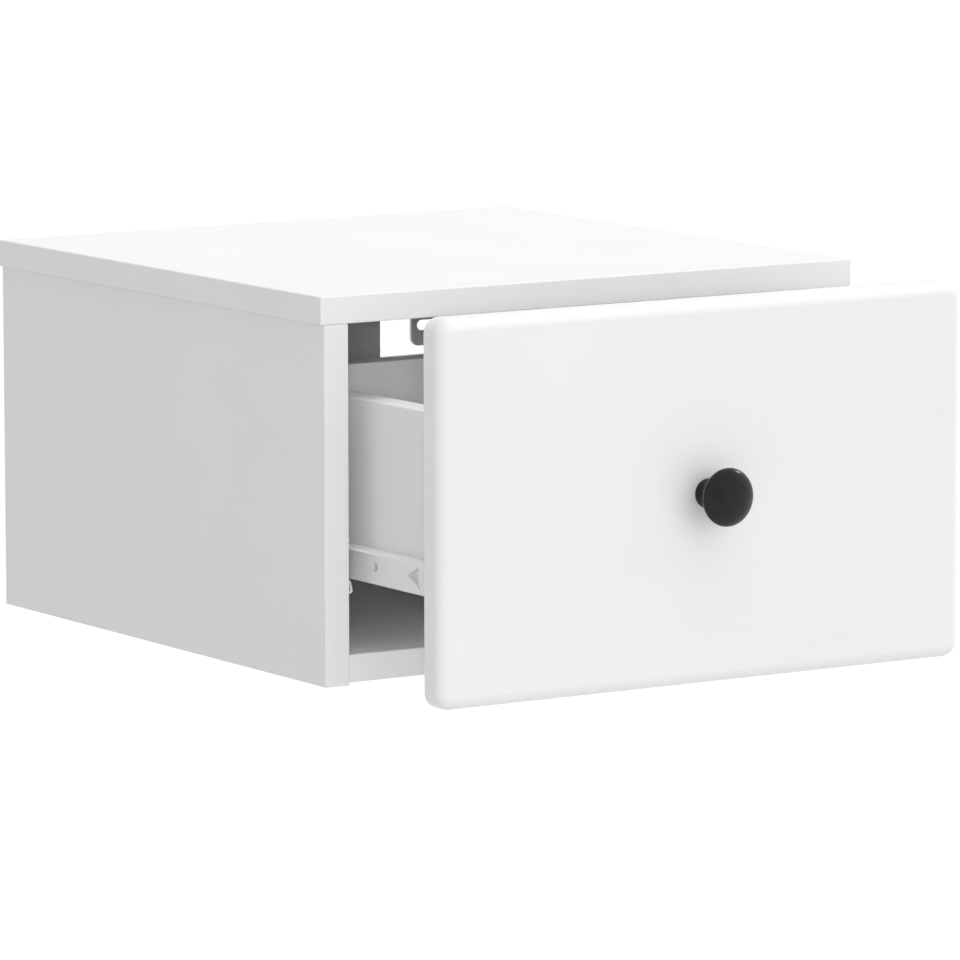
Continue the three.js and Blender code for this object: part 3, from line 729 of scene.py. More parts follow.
# %% [markdown]
# ## The cabinet's boards
#
# A board is a block with its edges eased by less than a millimetre, which is what edge banding
# looks like once it is trimmed and scraped. Blender's bevel rounds all twelve edges of a block
# evenly. The holes are cut after that, so that their rims stay crisp as a drill leaves them.

# %% Cabinet boards
edge_radius = 0.8 * mm
side_fittings = [
    "front_top_cam_lock", "front_top_cam_bolt", "rear_top_cam_lock", "rear_top_cam_bolt",
    "bottom_cam_bolt", "back_cam_bolt", "lower_bracket_screw", "upper_bracket_screw",
    "front_cabinet_runner_screw", "rear_cabinet_runner_screw",
]


def board(node, body, fittings, openings=()):
    blank = block(*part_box(node))
    bmesh.ops.bevel(
        blank, geom=blank.edges[:], offset=edge_radius, segments=4, profile=0.5, affect="EDGES"
    )
    piece = new_object(f"{node}_board", blank, white_board)
    if openings:
        cut_away(piece, openings, white_board)
    cut_away(piece, [socket(fitting) for fitting in fittings], raw_chipboard)
    smooth(piece)
    return dress(piece, body, "white_board", node)


for side in ("left", "right"):
    board(f"side_panel_{side}", "cabinet", [f"{fitting}_{side}" for fitting in side_fittings])
board("top_panel", "cabinet", on_both_sides("front_top_cam_bolt", "rear_top_cam_bolt"))
board("bottom_panel", "cabinet", on_both_sides("bottom_cam_lock", "bottom_cam_bolt"))
print("side panels, top and bottom made, edges eased by", round(edge_radius / mm, 1), "mm")

# %% [markdown]
# ## The back panel
#
# The back has its two upper corners cut away, so that the wall brackets can be reached from the
# front, and a tongue is left between them. The outline could be drawn point by point, but two
# blocks taken off a whole board give square inner corners, as a saw does.

# %% Back panel
tongue_half = 72.5 * mm
notch_floor = 20.475 * mm
back_low, back_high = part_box("back_panel")
notches = [
    block((start, back_low.y - mm, notch_floor), (end, back_high.y + mm, back_high.z + mm))
    for start, end in ((back_low.x - mm, -tongue_half), (tongue_half, back_high.x + mm))
]
back_fittings = on_both_sides("back_cam_lock", "back_cam_bolt")
board("back_panel", "cabinet", back_fittings, notches)
print("back panel: tongue", round(2 * tongue_half / mm), "mm wide")

# %% [markdown]
# ## Openings in the drawer runner's web
#
# The web has a round hole and a three-cornered window with a pip at one corner. Each side of the
# window bows in a little, as the photograph shows, so it is drawn as a curve from corner to corner.
# Through these openings the photograph shows a grey that is darker than the drawer's side above. A
# flat board would be just as white there. So the board gets a sunk place behind each opening, and
# the grey comes from the shade inside. A grey paint would be simpler, but it would stay grey in any
# light.

# %% Window and holes
shelf_low, shelf_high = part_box("drawer_runner_left")
web_middle = (shelf_low.z + shelf_high.z) / 2
window_y, window_length, window_height = shelf_low.y + 43.2 * mm, 13 * mm, 11 * mm
window_corners = [
    Vector((window_y, web_middle - window_height / 2)),
    Vector((window_y + window_length, web_middle)),
    Vector((window_y, web_middle + window_height / 2)),
]
# for the lower, the upper and the upright side: how far it bows in, and where it starts and ends
window_sides = [(0.1, 0.04, 0.86), (0.22, 0.14, 0.96), (0.34, 0.04, 0.96)]
window_steps = 8
window_centre = sum(window_corners, Vector((0, 0))) / 3
window_loop = []
for k, (bow, first_share, last_share) in enumerate(window_sides):
    corner, following = window_corners[k], window_corners[(k + 1) % 3]
    bend = ((corner + following) / 2).lerp(window_centre, bow)
    for j in range(window_steps + 1):
        t = first_share + (last_share - first_share) * j / window_steps
        window_loop.append(corner * (1 - t) ** 2 + bend * 2 * t * (1 - t) + following * t * t)
# for the round hole and the pip: place, radius in the web, radius and depth of the sunk place
web_holes = [
    ((shelf_low.y + 86.5 * mm, web_middle), 2.7 * mm, 2.6 * mm, 4 * mm),
    ((window_y, web_middle - window_height / 2), 0.9 * mm, 0.85 * mm, 5 * mm),
]
window_depth = 2.5 * mm
board_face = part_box("drawer_side_left")[0].x


def sunk_places(side):
    sign, inward = (1, right) if side == "left" else (-1, left)
    window_recess = skin([
        [Vector((sign * x, p.x, p.y)) for p in window_loop]
        for x in (board_face - mm, board_face + window_depth)
    ])
    return [window_recess] + [
        drill(Vector((sign * (board_face - mm), *place)), inward, radius, depth + mm)
        for place, _, radius, depth in web_holes
    ]


print("window outline:", len(window_loop), "points")

# %% [markdown]
# ## Painted light on the drawer's top edges
#
# The top faces of the drawer's sides are lit from above, and that light is painted into their
# colour: they get a finish of their own, a shade whiter than the board, a little glossier and
# without its pearl grain.

# %% Painted top light finish
edge_band, top_light_shader = new_finish("edge_band", 0.4, specular=0.3)
# whiter than the board: painted light from above, for the top faces only
vary_colour(edge_band, top_light_shader, noise(edge_band, 30, 2), grey(0.94), grey(0.96))
vary_roughness(edge_band, top_light_shader, noise(edge_band, 500, 2), 0.36, 0.46)
print("edge_band made")

# %% [markdown]
# ## The drawer's sides
#
# The drawer's sides are grooved for its thin bottom, which slides in before the back is screwed on.
# A groove is a long block cut out of each side, a little wider than the bottom is thick. It could
# be left out, as the bottom nearly fills it, but then the bottom would pass through solid boards.
# The screw that holds the back has its head sunk in a seat.

# %% Drawer sides
drawer_side_fittings = [
    "drawer_cam_lock", "drawer_cam_bolt", "drawer_back_screw",
    "front_drawer_runner_screw", "rear_drawer_runner_screw",
]
head_seat_radius = 3.9 * mm
bottom_low, bottom_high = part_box("drawer_bottom")
groove = (
    (bottom_low.x - clearance, bottom_low.y - clearance, bottom_low.z - clearance),
    (bottom_high.x + clearance, bottom_high.y + 2 * mm, bottom_high.z + clearance),
)
for side in ("left", "right"):
    screw_low, screw_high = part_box(f"drawer_back_screw_{side}")
    head_x, inward = (screw_low.x, right) if side == "left" else (screw_high.x, left)
    head_centre = centre_of(f"drawer_back_screw_{side}")
    head_centre.x = head_x
    head_seat = drill(head_centre - inward * mm, inward, head_seat_radius, 4 * mm)
    side_board = board(
        f"drawer_side_{side}", "drawer",
        [f"{fitting}_{side}" for fitting in drawer_side_fittings],
        sunk_places(side),
    )
    side_board.modifiers.clear()
    cut_away(side_board, [block(*groove), head_seat], raw_chipboard)
    side_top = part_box(f"drawer_side_{side}")[1].z
    # the upward faces of the top edge get the finish with painted light from above
    side_board.data.materials.append(edge_band)
    for face in side_board.data.polygons:
        if face.normal.z > 0.7 and face.center.z > side_top - mm:
            face.material_index = len(side_board.data.materials) - 1
    smooth(side_board)
print("drawer sides made, groove", round((groove[1][2] - groove[0][2]) / mm, 1), "mm wide")

# %% [markdown]
# ## The drawer's back and bottom
#
# The back is a board like the others, and the bottom a thin hard board that lies in the grooves.
# Both are seen when somebody looks into the open drawer. The bottom could go through the same
# helper as the boards, but it has its own finish and is too thin for their edges, so it is a block
# with a small bevel.

# %% Drawer back and bottom
board("drawer_back", "drawer", on_both_sides("drawer_back_screw"))
tray = new_object("drawer_bottom_board", block(*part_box("drawer_bottom")), white_fibreboard)
soften(tray, 0.3 * mm)
smooth(tray)
dress(tray, "drawer", "white_fibreboard", "drawer_bottom")
print("drawer bottom:", round((bottom_high.z - bottom_low.z) / mm, 1), "mm thick")

# %% [markdown]
# ## The drawer front
#
# This is the piece that the photograph shows best: a thick plate whose edges are rounded towards
# the front and whose four corners are rounded too, wrapped in foil. A bevel on a block would round
# the corners and the rim by the same radius. Here the outline is laid in loops instead, each a
# rounded rectangle that shrinks along a quarter circle, which gives the corners 8.5 mm and the rim
# 7 mm.

# %% Drawer front
rim_radius = 7 * mm
corner_radius = 8.5 * mm
rear_ease = 0.6 * mm


def quarter_turn(steps):
    return [math.pi / 2 * k / steps for k in range(steps + 1)]


def rounded_loop(low, high, inset, y, steps=9):
    radius = max(corner_radius - inset, 0.2 * mm)
    loop = []
    for x_way, z_way, start in ((1, 1, 0), (-1, 1, 90), (-1, -1, 180), (1, -1, 270)):
        x = (high.x - inset - radius) if x_way > 0 else (low.x + inset + radius)
        z = (high.z - inset - radius) if z_way > 0 else (low.z + inset + radius)
        for t in quarter_turn(steps):
            t += math.radians(start)
            loop.append(Vector((x + radius * math.cos(t), y, z + radius * math.sin(t))))
    return loop


front_low, front_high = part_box("drawer_front")
rear_edge = [
    (rear_ease * (1 - math.sin(t)), front_high.y - rear_ease * (1 - math.cos(t)))
    for t in quarter_turn(4)
]
rim = [
    (rim_radius * (1 - math.cos(t)), front_low.y + rim_radius * (1 - math.sin(t)))
    for t in quarter_turn(14)
]
front_loops = [rounded_loop(front_low, front_high, inset, y) for inset, y in rear_edge + rim]
drawer_face = new_object("drawer_front_plate", skin(front_loops), white_lacquer)
knob_low, knob_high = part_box("knob")
knob_height = (knob_low.z + knob_high.z) / 2
bolt_hole_start = Vector((0, front_high.y + mm, knob_height))
bolt_hole = drill(bolt_hole_start, forward, radius=2.3 * mm, depth=18 * mm)
bolt_sockets = [socket(bolt) for bolt in on_both_sides("drawer_cam_bolt")]
cut_away(drawer_face, [block(*groove), bolt_hole, *bolt_sockets], raw_chipboard)
smooth(drawer_face)
dress(drawer_face, "drawer", "white_lacquer", "drawer_front")
print("drawer front:", len(drawer_face.data.polygons), "faces")

# %% [markdown]
# ## Turned pieces
#
# The knob, the rollers, the rivets, the cams and all the screws come off a lathe or look as if they
# did. Each could be built from cylinders, but a profile holds every step and round of such a piece
# in one list. The profiles are in millimetres, and cuts such as a cross slot follow the turning.

# %% Lathe helper
def lathe(name, profile, start, along, sides, finish, cuts=(), angle=30, closed=False):
    in_metres = [(radius * mm, distance * mm) for radius, distance in profile]
    piece = new_object(name, turned(in_metres, start, along, sides, closed), finish)
    if cuts:
        cut_away(piece, cuts, finish)
    smooth(piece, angle)
    return piece


print("lathe ready")

# %% [markdown]
# ## The knob
#
# A knob like this is turned on a lathe and then lacquered: a round foot, a narrow waist and a domed
# head with a thick, soft rim. It could be modelled as a subdivided cylinder, but a profile can be
# read off the photograph. It is drawn with curves rather than points, so the head has no visible
# facets.

# %% Knob
def curve_points(start, control_a, control_b, end, steps):
    points = []
    for k in range(1, steps + 1):
        t = k / steps
        s = 1 - t
        weights = (s ** 3, 3 * s * s * t, 3 * s * t * t, t ** 3)
        corners = (start, control_a, control_b, end)
        points.append(tuple(sum(w * c[i] for w, c in zip(weights, corners)) for i in (0, 1)))
    return points


knob_length = (knob_high.y - knob_low.y) / mm
head = (knob_high.x - knob_low.x) / 2 / mm
shoulder = 19.4  # where the head is widest
roundness = 2 / 1.85  # 1 would make the dome an ellipse, more makes it more pointed
knob_profile = [(0, 9.3), (2.3, 9.3), (2.3, 0), (7.2, 0)]
knob_profile += curve_points((7.2, 0), (7.7, 0), (7.9, 0.3), (7.9, 0.9), 5)
knob_profile += curve_points((7.9, 0.9), (7.9, 2.2), (7.1, 3.4), (7.0, 6.0), 8)
knob_profile += curve_points((7.0, 6.0), (6.9, 10.5), (9.0, 14.0), (11.8, 15.4), 12)
knob_profile += curve_points((11.8, 15.4), (13.8, 16.4), (head, 17.4), (head, shoulder), 12)
dome_height = knob_length - shoulder
for t in quarter_turn(28)[1:-1]:
    dome_radius = head * math.cos(t) ** roundness
    knob_profile.append((dome_radius, shoulder + dome_height * math.sin(t) ** roundness))
knob_profile.append((0, knob_length))
knob_foot = Vector((0, knob_high.y, knob_height))
knob_piece = lathe("knob_turned", knob_profile, knob_foot, forward, 96, black_lacquer, angle=50)
dress(knob_piece, "drawer", "black_lacquer", "knob")
print("knob:", round(knob_length, 1), "mm long, head", round(2 * head, 1), "mm across")

# %% [markdown]
# ## Folded steel
#
# The runners and brackets are strips of steel folded lengthwise. A bent sheet could be made flat
# and folded with modifiers, but it is quicker to draw its section. The middle line of the sheet is
# given by its corners, each corner becomes a true round bend, and the sheet's two faces lie half a
# thickness to either side. The section is then carried along the strip's length.

# %% Folding helper
def folded_section(line, thickness, radius, steps=7):
    points = [Vector(p) for p in line]

    def way(i):
        return (points[i + 1] - points[i]).normalized()

    def side_of(direction):
        return Vector((-direction.y, direction.x))

    spine = [(points[0], side_of(way(0)))]
    for i in range(1, len(points) - 1):
        arriving, leaving = way(i - 1), way(i)
        turn = math.atan2(arriving.cross(leaving), arriving.dot(leaving))
        sign = math.copysign(1, turn)
        start = points[i] - arriving * radius * math.tan(abs(turn) / 2)
        centre = start + side_of(arriving) * sign * radius
        for k in range(steps + 1):
            normal = side_of(arriving)
            normal.rotate(Matrix.Rotation(turn * k / steps, 2))
            spine.append((centre - normal * sign * radius, normal))
    spine.append((points[-1], side_of(way(len(points) - 2))))
    inner = [at - normal * thickness / 2 for at, normal in spine]
    outer = [at + normal * thickness / 2 for at, normal in spine]
    return inner + outer[::-1]


def slot_outline(middle_u, middle_v, length, height, steps):
    outline = []
    for sign, first in ((1, -90), (-1, 90)):
        end_u = middle_u + sign * (length - height) / 2
        for k in range(steps + 1):
            t = math.radians(first + 180 * k / steps)
            outline.append((end_u + height / 2 * math.cos(t), middle_v + height / 2 * math.sin(t)))
    return outline


print("a slot's outline has", len(slot_outline(0, 0, 10, 4, 10)), "points")

# %% [markdown]
# ## The cabinet's runners
#
# The cabinet's half of a roller runner has a lane at the bottom, on which the drawer's roller runs,
# with a low lip whose front end is cut on a slant. A flange at the top holds the drawer down. Slots
# and screw seats could be cut in the flat sheet before it is folded, as the press does, but the
# result is the same when they follow, and that needs no bending of holes.

# %% Cabinet runner
steel = 1.2 * mm
bend_radius = 1.4 * mm
rivet_hole_radius = 2.8 * mm
runner_ease = 0.12 * mm
lip_height, flange_reach = 6.5 * mm, 9.45 * mm
slot_length, slot_height = 10 * mm, 4.6 * mm
slot_shares = (0.336, 0.464, 0.592, 0.72)  # where the slots sit along the runner


def folded_strip(line, start, end):
    section = folded_section(line, steel, bend_radius)
    return skin([[Vector((p.x, y, p.y)) for p in section] for y in (start, end)])


def across_web(start_x, place, radius, depth):
    return drill(Vector((start_x, *place)), right, radius, depth)


def place_of(node):
    centre = centre_of(node)
    return centre.y, centre.z


lane_low, lane_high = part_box("cabinet_runner_left")
lane_web = lane_low.x + steel / 2
lip_x = lane_high.x - steel / 2
lane_z = lane_low.z + steel / 2
flange_z = lane_high.z - steel / 2
lane_line = [
    (lip_x, lane_low.z + lip_height), (lip_x, lane_z), (lane_web, lane_z),
    (lane_web, flange_z), (lane_low.x + flange_reach, flange_z),
]
cabinet_runner = new_object(
    "cabinet_runner_folded_left", folded_strip(lane_line, lane_low.y, lane_high.y), coated_steel
)
slant = ((-1, 0), (0, 0), (2.85, 6.3), (-1, 6.3))  # what comes off the lip's front, in mm
lip_cut = skin([
    [Vector((x, lane_low.y + y * mm, lane_low.z + steel + z * mm)) for y, z in slant]
    for x in (lane_low.x + 5 * mm, lane_high.x + 5 * mm)
])
runner_length = lane_high.y - lane_low.y
lane_middle = (lane_low.z + lane_high.z) / 2
lane_cuts = [lip_cut]
for share in slot_shares:
    slot_y = lane_low.y + share * runner_length
    outline = slot_outline(slot_y, lane_middle, slot_length, slot_height, 10)
    lane_cuts.append(skin([
        [Vector((x, y, z)) for y, z in outline] for x in (lane_web - steel, lane_web + steel)
    ]))
rivet_place = place_of("front_roller_axle_left")
lane_cuts.append(across_web(lane_low.x - mm, rivet_place, rivet_hole_radius, 2 * mm + steel))
for place in ("front", "rear"):
    screw = f"{place}_cabinet_runner_screw_left"
    seat_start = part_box(screw)[0].x - 2 * mm
    lane_cuts.append(across_web(seat_start, place_of(screw), head_seat_radius, 20 * mm))
cut_away(cabinet_runner, lane_cuts, coated_steel)
soften(cabinet_runner, runner_ease, segments=1, angle=50)
smooth(cabinet_runner)
print("cabinet runner:", round(runner_length / mm), "mm long")

# %% [markdown]
# ## The drawer's runners
#
# The drawer's half hooks under the side board and spreads into a shelf, which rolls on the
# cabinet's front roller. It is folded by the same helper. Its web shows in the gap beside the
# drawer front, so it gets the window and the holes that were drawn above. Both halves are then
# mirrored for the right side.

# %% Drawer runner
drawer_web = board_face - 0.05 * mm - steel / 2
hook_z = shelf_low.z + steel / 2
shelf_z = shelf_high.z - steel / 2
shelf_line = [
    (shelf_high.x, hook_z), (drawer_web, hook_z), (drawer_web, shelf_z), (shelf_low.x, shelf_z)
]
drawer_runner = new_object(
    "drawer_runner_folded_left", folded_strip(shelf_line, shelf_low.y, shelf_high.y), coated_steel
)
shelf_cuts = [skin([
    [Vector((x, p.x, p.y)) for p in window_loop] for x in (drawer_web - steel, drawer_web + steel)
])]
holes = [(place, radius) for place, radius, _, _ in web_holes]
holes.append((place_of("rear_roller_axle_left"), rivet_hole_radius))
shelf_cuts += [across_web(drawer_web - steel, place, radius, 2 * steel) for place, radius in holes]
for place in ("front", "rear"):
    seat_place = place_of(f"{place}_drawer_runner_screw_left")
    shelf_cuts.append(across_web(drawer_web - 2 * mm, seat_place, head_seat_radius, 4 * mm))
cut_away(drawer_runner, shelf_cuts, coated_steel)
soften(drawer_runner, runner_ease, segments=1, angle=50)
smooth(drawer_runner)
for piece, body in ((cabinet_runner, "cabinet"), (drawer_runner, "drawer")):
    twin = mirror_of(piece)
    node = piece.name.replace("_folded", "")
    dress(piece, body, "coated_steel", node)
    dress(twin, body, "coated_steel", node.replace("left", "right"))
print("drawer runner:", len(drawer_runner.data.polygons), "faces")

# %% [markdown]
# ## The rollers and their rivets
#
# Each roller is a moulded ring with a dished side, a rounded tread and a bore, and it turns on a
# stepped rivet. A plain cylinder would show neither the dish nor the soft tread, so both are
# turned. The roller's section is closed on itself because of the bore, so its last ring is joined
# to its first. Each roller rides on a body of its own, because it turns.

# %% Rollers and rivets
tail_length = 1.2  # of a rivet, behind its shoulder


def roller_profile(width):
    face = [
        (2.8, 0.3), (3.1, 0), (4.3, 0), (4.6, 0.3), (4.9, 1.3), (5.4, 1.5), (9.2, 1.5), (9.6, 1.2),
        (9.8, 0.2), (10.1, 0), (10.8, 0.1), (11.25, 0.4), (11.45, 0.9), (11.5, 1.5),
    ]
    return face + [(radius, width - distance) for radius, distance in reversed(face)]


def rivet_profile(length):
    end = length - tail_length
    return [
        (0, 0), (3.1, 0), (3.7, 0.15), (4, 0.5), (4, 0.8), (2.5, 0.8), (2.5, 7.9), (3.8, 7.9),
        (4, 8.1), (4, end), (2.5, end), (2.5, end + 1), (2.2, end + tail_length),
        (0, end + tail_length),
    ]


for place, holder in (("front", "cabinet"), ("rear", "drawer")):
    for side, outward in (("left", left), ("right", right)):
        node = f"{place}_roller_{side}"
        low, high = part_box(node)
        hub = centre_of(node)
        wheel = lathe(
            f"{place}_roller_moulded_{side}", roller_profile((high.x - low.x) / mm),
            Vector((low.x, hub.y, hub.z)), right, 72, white_nylon, angle=35, closed=True,
        )
        dress(wheel, f"{place}_wheel_{side}", "white_nylon", node)
        low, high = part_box(f"{place}_roller_axle_{side}")
        along = outward if place == "front" else -outward
        rivet_start = Vector((low.x if along.x > 0 else high.x, hub.y, hub.z))
        rivet = lathe(
            f"{place}_rivet_{side}", rivet_profile((high.x - low.x) / mm),
            rivet_start, along, 40, plated_steel, angle=35,
        )
        dress(rivet, holder, "plated_steel", f"{place}_roller_axle_{side}")
print("rollers:", round((high.x - low.x) / mm, 2), "mm from head to tail of the last rivet")

# %% [markdown]
# ## The wall brackets
#
# A bracket is a strip of steel folded to a right angle. One leg is screwed to the side panel and
# the other lies on the wall, with two slots that allow the cabinet to be shifted before the wall's
# screws are tightened. The fold is made like the runners' folds, only upright, and the slots come
# after it. Its free corners could be left sharp, but the photograph shows a round one, so each is
# cut round.

# %% Wall brackets
bracket_steel = 2 * mm
bracket_bend = 2.2 * mm
wall_slot_x, wall_slot_rises = -118 * mm, (12 * mm, 48 * mm)
bracket_low, bracket_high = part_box("wall_bracket_left")
wall_leg_y = bracket_high.y - bracket_steel / 2
side_leg_x = bracket_low.x + bracket_steel / 2
bracket_line = [(bracket_high.x, wall_leg_y), (side_leg_x, wall_leg_y), (side_leg_x, bracket_low.y)]
angle_section = folded_section(bracket_line, bracket_steel, bracket_bend, steps=10)
angle = new_object(
    "wall_bracket_folded_left",
    skin([[Vector((p.x, p.y, z)) for p in angle_section] for z in (bracket_low.z, bracket_high.z)]),
    coated_steel,
)


def corner_off(corner, first_way, second_way, along, radius=5 * mm, depth=5 * mm):
    hub = corner + first_way * radius + second_way * radius
    fan = [corner + first_way * radius]
    for t in quarter_turn(8)[1:]:
        fan.append(hub - second_way * radius * math.cos(t) - first_way * radius * math.sin(t))
    outside = [
        corner + second_way * radius - first_way * mm,
        corner - (first_way + second_way) * mm,
        corner + first_way * radius - second_way * mm,
    ]
    return skin([[p + along * s for p in fan + outside] for s in (-depth, depth)])


def wall_slot(x, z, length=24 * mm, height=6 * mm):
    outline = slot_outline(x, z, length, height, 12)
    return skin([
        [Vector((u, y, v)) for u, v in outline]
        for y in (bracket_high.y - 4 * mm, bracket_high.y + 2 * mm)
    ])


bracket_ends = ((bracket_low.z, up), (bracket_high.z, down))
bracket_cuts = [
    corner_off(Vector((bracket_high.x, bracket_high.y, z)), left, way, forward)
    for z, way in bracket_ends
]
bracket_cuts += [
    corner_off(Vector((bracket_low.x, bracket_low.y, z)), backward, way, right)
    for z, way in bracket_ends
]
bracket_cuts += [wall_slot(wall_slot_x, bracket_low.z + rise) for rise in wall_slot_rises]
for place in ("lower", "upper"):
    centre = centre_of(f"{place}_bracket_screw_left")
    centre.x = bracket_low.x - 2 * mm
    bracket_cuts.append(drill(centre, right, radius=2.2 * mm, depth=6 * mm))
cut_away(angle, bracket_cuts, coated_steel)
soften(angle, 0.18 * mm, segments=1, angle=50)
smooth(angle)
angle_twin = mirror_of(angle)
dress(angle, "cabinet", "coated_steel", "wall_bracket_left")
dress(angle_twin, "cabinet", "coated_steel", "wall_bracket_right")
print("bracket:", round((bracket_high.z - bracket_low.z) / mm), "mm tall")

# %% [markdown]
# ## Cams
#
# Small fittings are worth real shapes, because a flat disc in a board reads as a mistake from close
# by. A cam is a cast drum with a rounded edge, a cross for the screwdriver and a small arrow that
# shows where its mouth is. The cross could be painted on, but it is cut with two thin blocks that
# narrow towards their tips, so that it catches the light. The mouth is drilled from the side.

# %% Cam helper
cutter_lead = 0.4 * mm  # how far a cutter stands out of what it cuts


def cross_cut(start, along, length, width, depth):
    across = along.orthogonal().normalized()
    other = along.cross(across)
    cutters = []
    for a, b in ((across, other), (other, across)):
        base = [start + a * u * length / 2 + b * v * width / 2 for u, v in square_corners]
        tip = [
            start + along * depth + a * u * length / 3.4 + b * v * width / 2.6
            for u, v in square_corners
        ]
        cutters.append(skin([[p - along * cutter_lead for p in base], base, tip]))
    return cutters


def arrow_cut(start, along, pull, depth):
    side = along.cross(pull)
    tail = start + pull * 4.7 * mm
    loop = [start + pull * 6.4 * mm, tail + side * 1.1 * mm, tail - side * 1.1 * mm]
    return skin([[p - along * cutter_lead for p in loop], [p + along * depth for p in loop]])


def end_of(node, along):
    low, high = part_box(node)
    end = centre_of(node)
    axis = max(range(3), key=lambda i: abs(along[i]))
    end[axis] = low[axis] if along[axis] > 0 else high[axis]
    return end


def length_of(node, along):
    low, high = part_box(node)
    return abs((high - low).dot(along)) / mm


def cam_drum(node, into, pull, body):
    start = end_of(node, into)
    end = length_of(node, into)
    profile = [
        (0, 0.25), (6.1, 0.25), (6.3, 0), (6.9, 0), (7.13, 0.1), (7.2, 0.35),
        (7.2, end - 0.3), (6.9, end), (0, end),
    ]
    cuts = cross_cut(start, into, length=8 * mm, width=1.5 * mm, depth=1.7 * mm)
    cuts.append(arrow_cut(start, into, pull, depth=0.6 * mm))
    cuts.append(drill(start + into * 6.5 * mm, pull, radius=3.6 * mm, depth=9 * mm, sides=24))
    drum = lathe(node.replace("lock", "drum"), profile, start, into, 56, cast_zinc, cuts)
    return dress(drum, body, "cast_zinc", node)


print("a cam is", round(length_of("bottom_cam_lock_left", up), 1), "mm deep")

# %% [markdown]
# ## Screws and bolts
#
# A screw is turned, thread and all, from a saw-toothed profile: rings rather than a true helix,
# which nobody can tell apart at this size. A helix could be made with the screw modifier, but it
# would take many more faces. The bracket's screws have domed heads and the others flat ones. A cam
# bolt has a round head for the cam's mouth, a collar, and a threaded end for the board it is
# screwed into.

# %% Screw and bolt helpers
def thread(start, end, pitch, tooth):
    points = []
    while start + pitch < end:
        points += [(radius, start + rise) for radius, rise in tooth]
        start += pitch
    return points


def screw_profile(length, head_height, domed, head_radius=3.6, pitch=1.3):
    if domed:
        points = [(0, 0), (1.8, 0.05), (2.8, 0.25), (3.35, 0.7), (head_radius, 1.3)]
        points += [(head_radius, head_height - 0.1), (head_radius - 0.1, head_height)]
        shank = head_height + 0.6
    else:
        points = [(0, 0), (head_radius - 0.1, 0), (head_radius, 0.1)]
        shank = head_height + 0.4
    root = screw_radius - 0.45
    tooth = [(root, 0.35 * pitch), (screw_radius, 0.6 * pitch), (root, 0.85 * pitch)]
    points += [(screw_radius, head_height), (root, shank)]
    points += thread(shank, length - 2.5, pitch, tooth)
    return points + [(root, length - 2.5), (root * 0.55, length - 1), (0, length)]


def screw_piece(node, along, body, head_height, domed):
    start = end_of(node, along)
    profile = screw_profile(length_of(node, along), head_height, domed)
    cross_depth = min(head_height, 1.9) * 0.75 * mm
    cross = cross_cut(start, along, length=3.8 * mm, width=0.95 * mm, depth=cross_depth)
    name = node.replace("screw", "wood_screw")
    piece = lathe(name, profile, start, along, 28, plated_steel, cross)
    return dress(piece, body, "plated_steel", node)


def cam_bolt(node, along, body):
    profile = [(0, 0), (2.6, 0), (3.2, 0.5), (3.2, 2.1), (2.6, 2.6), (2, 2.6), (2, 11.3)]
    profile += [(3.2, 11.3), (3.4, 11.5), (3.4, 25.0), (3.2, 25.3), (2.2, 25.3)]
    profile += thread(25.6, 34.6, 1.5, [(2.2, 0.4), (2.8, 0.8), (2.2, 1.2)])
    profile += [(2.1, 34.8), (1.2, 35.8), (0, 35.8)]
    piece = lathe(f"{node}_turned", profile, end_of(node, along), along, 28, plated_steel)
    return dress(piece, body, "plated_steel", node)


print("a drawer back screw is", round(length_of("drawer_back_screw_left", right), 1), "mm long")

# %% [markdown]
# ## The fittings in their places
#
# Each kind of fitting sits on both sides of the cabinet or drawer. The places could be listed one
# by one, but a fitting's CAD piece gives its place, so a table needs only the direction that it
# points in on the left side. For the right side that direction is mirrored.

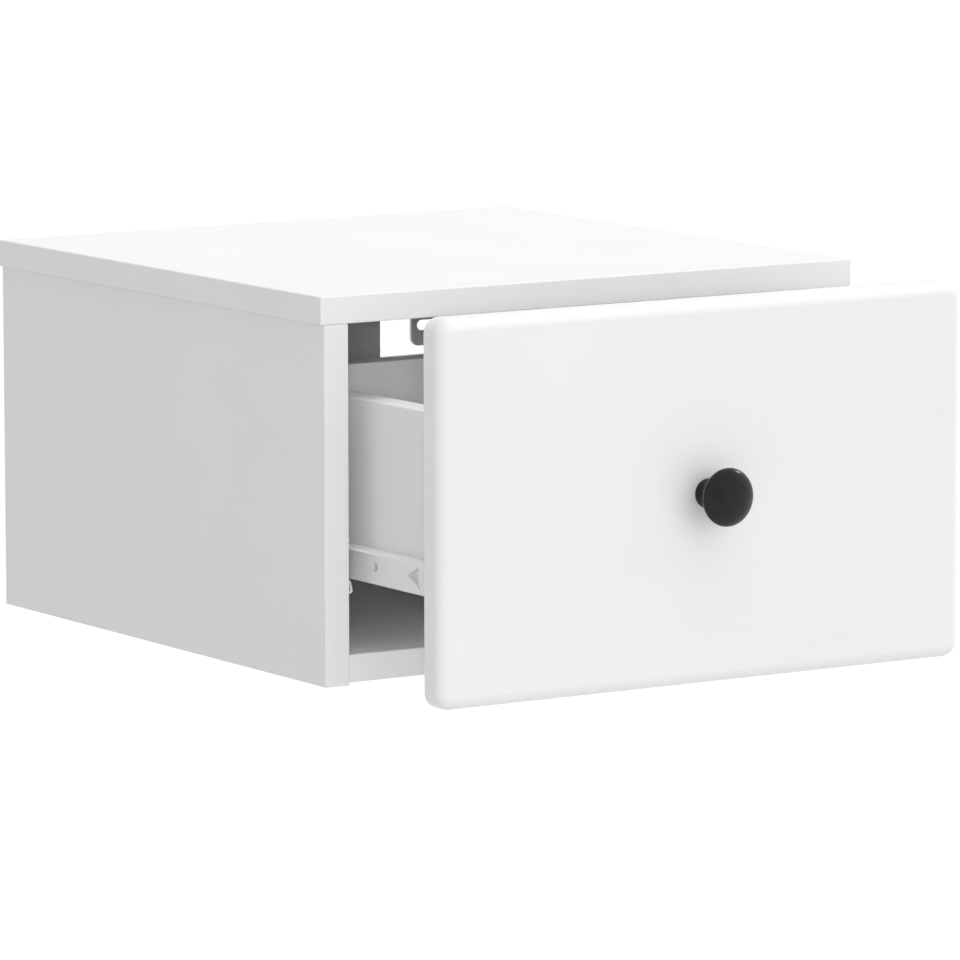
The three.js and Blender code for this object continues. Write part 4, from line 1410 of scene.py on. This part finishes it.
# %% Put the fittings in
# a cam's name, the way it is sunk in, the way its bolt runs, and what it rides on
cams = [
    ("front_top_cam", left, up, "cabinet"),
    ("rear_top_cam", left, up, "cabinet"),
    ("bottom_cam", up, left, "cabinet"),
    ("back_cam", forward, left, "cabinet"),
    ("drawer_cam", left, forward, "drawer"),
]
# a screw's name, the way it is driven, what it rides on, its head's height, and whether it is domed
screws = [
    ("lower_bracket_screw", left, "cabinet", 2, True),
    ("upper_bracket_screw", left, "cabinet", 2, True),
    ("front_cabinet_runner_screw", left, "cabinet", 1.2, False),
    ("rear_cabinet_runner_screw", left, "cabinet", 1.2, False),
    ("front_drawer_runner_screw", right, "drawer", 1.2, False),
    ("rear_drawer_runner_screw", right, "drawer", 1.2, False),
    ("drawer_back_screw", right, "drawer", 1.8, False),
]


def for_side(way, side):
    return Vector((-way.x, way.y, way.z)) if side == "right" else way


for side in ("left", "right"):
    for stem, into, pull, body in cams:
        into, pull = for_side(into, side), for_side(pull, side)
        cam_drum(f"{stem}_lock_{side}", into, pull, body)
        cam_bolt(f"{stem}_bolt_{side}", pull, body)
    for stem, along, body, head_height, domed in screws:
        screw_piece(f"{stem}_{side}", for_side(along, side), body, head_height, domed)
print("fittings:", 4 * len(cams) + 2 * len(screws))

# %% [markdown]
# ## The knob's bolt
#
# The knob is held by a machine screw that comes through the drawer front from inside. Its head
# shows when the drawer is open, so it gets a domed head with a cross, and the finer thread of a
# machine screw.

# %% Knob bolt
bolt_start = end_of("knob_bolt", forward)
bolt_profile = [(0, 0), (2.6, 0.05), (3.7, 0.35), (4.2, 1.2), (4.2, 2.3), (4.1, 2.4)]
bolt_profile += [(2, 2.4), (1.65, 3.2)]
bolt_profile += thread(3.2, 26.5, 0.7, [(2.0, 0.35), (1.65, 0.7)])
bolt_profile += [(1.6, 26.9), (1.2, 27.4), (0, 27.4)]
bolt_cross = cross_cut(bolt_start, forward, length=4.6 * mm, width=1.1 * mm, depth=1.4 * mm)
knob_screw = lathe("knob_screw", bolt_profile, bolt_start, forward, 32, plated_steel, bolt_cross)
dress(knob_screw, "drawer", "plated_steel", "knob_bolt")
print("knob bolt:", len(knob_screw.data.polygons), "faces")
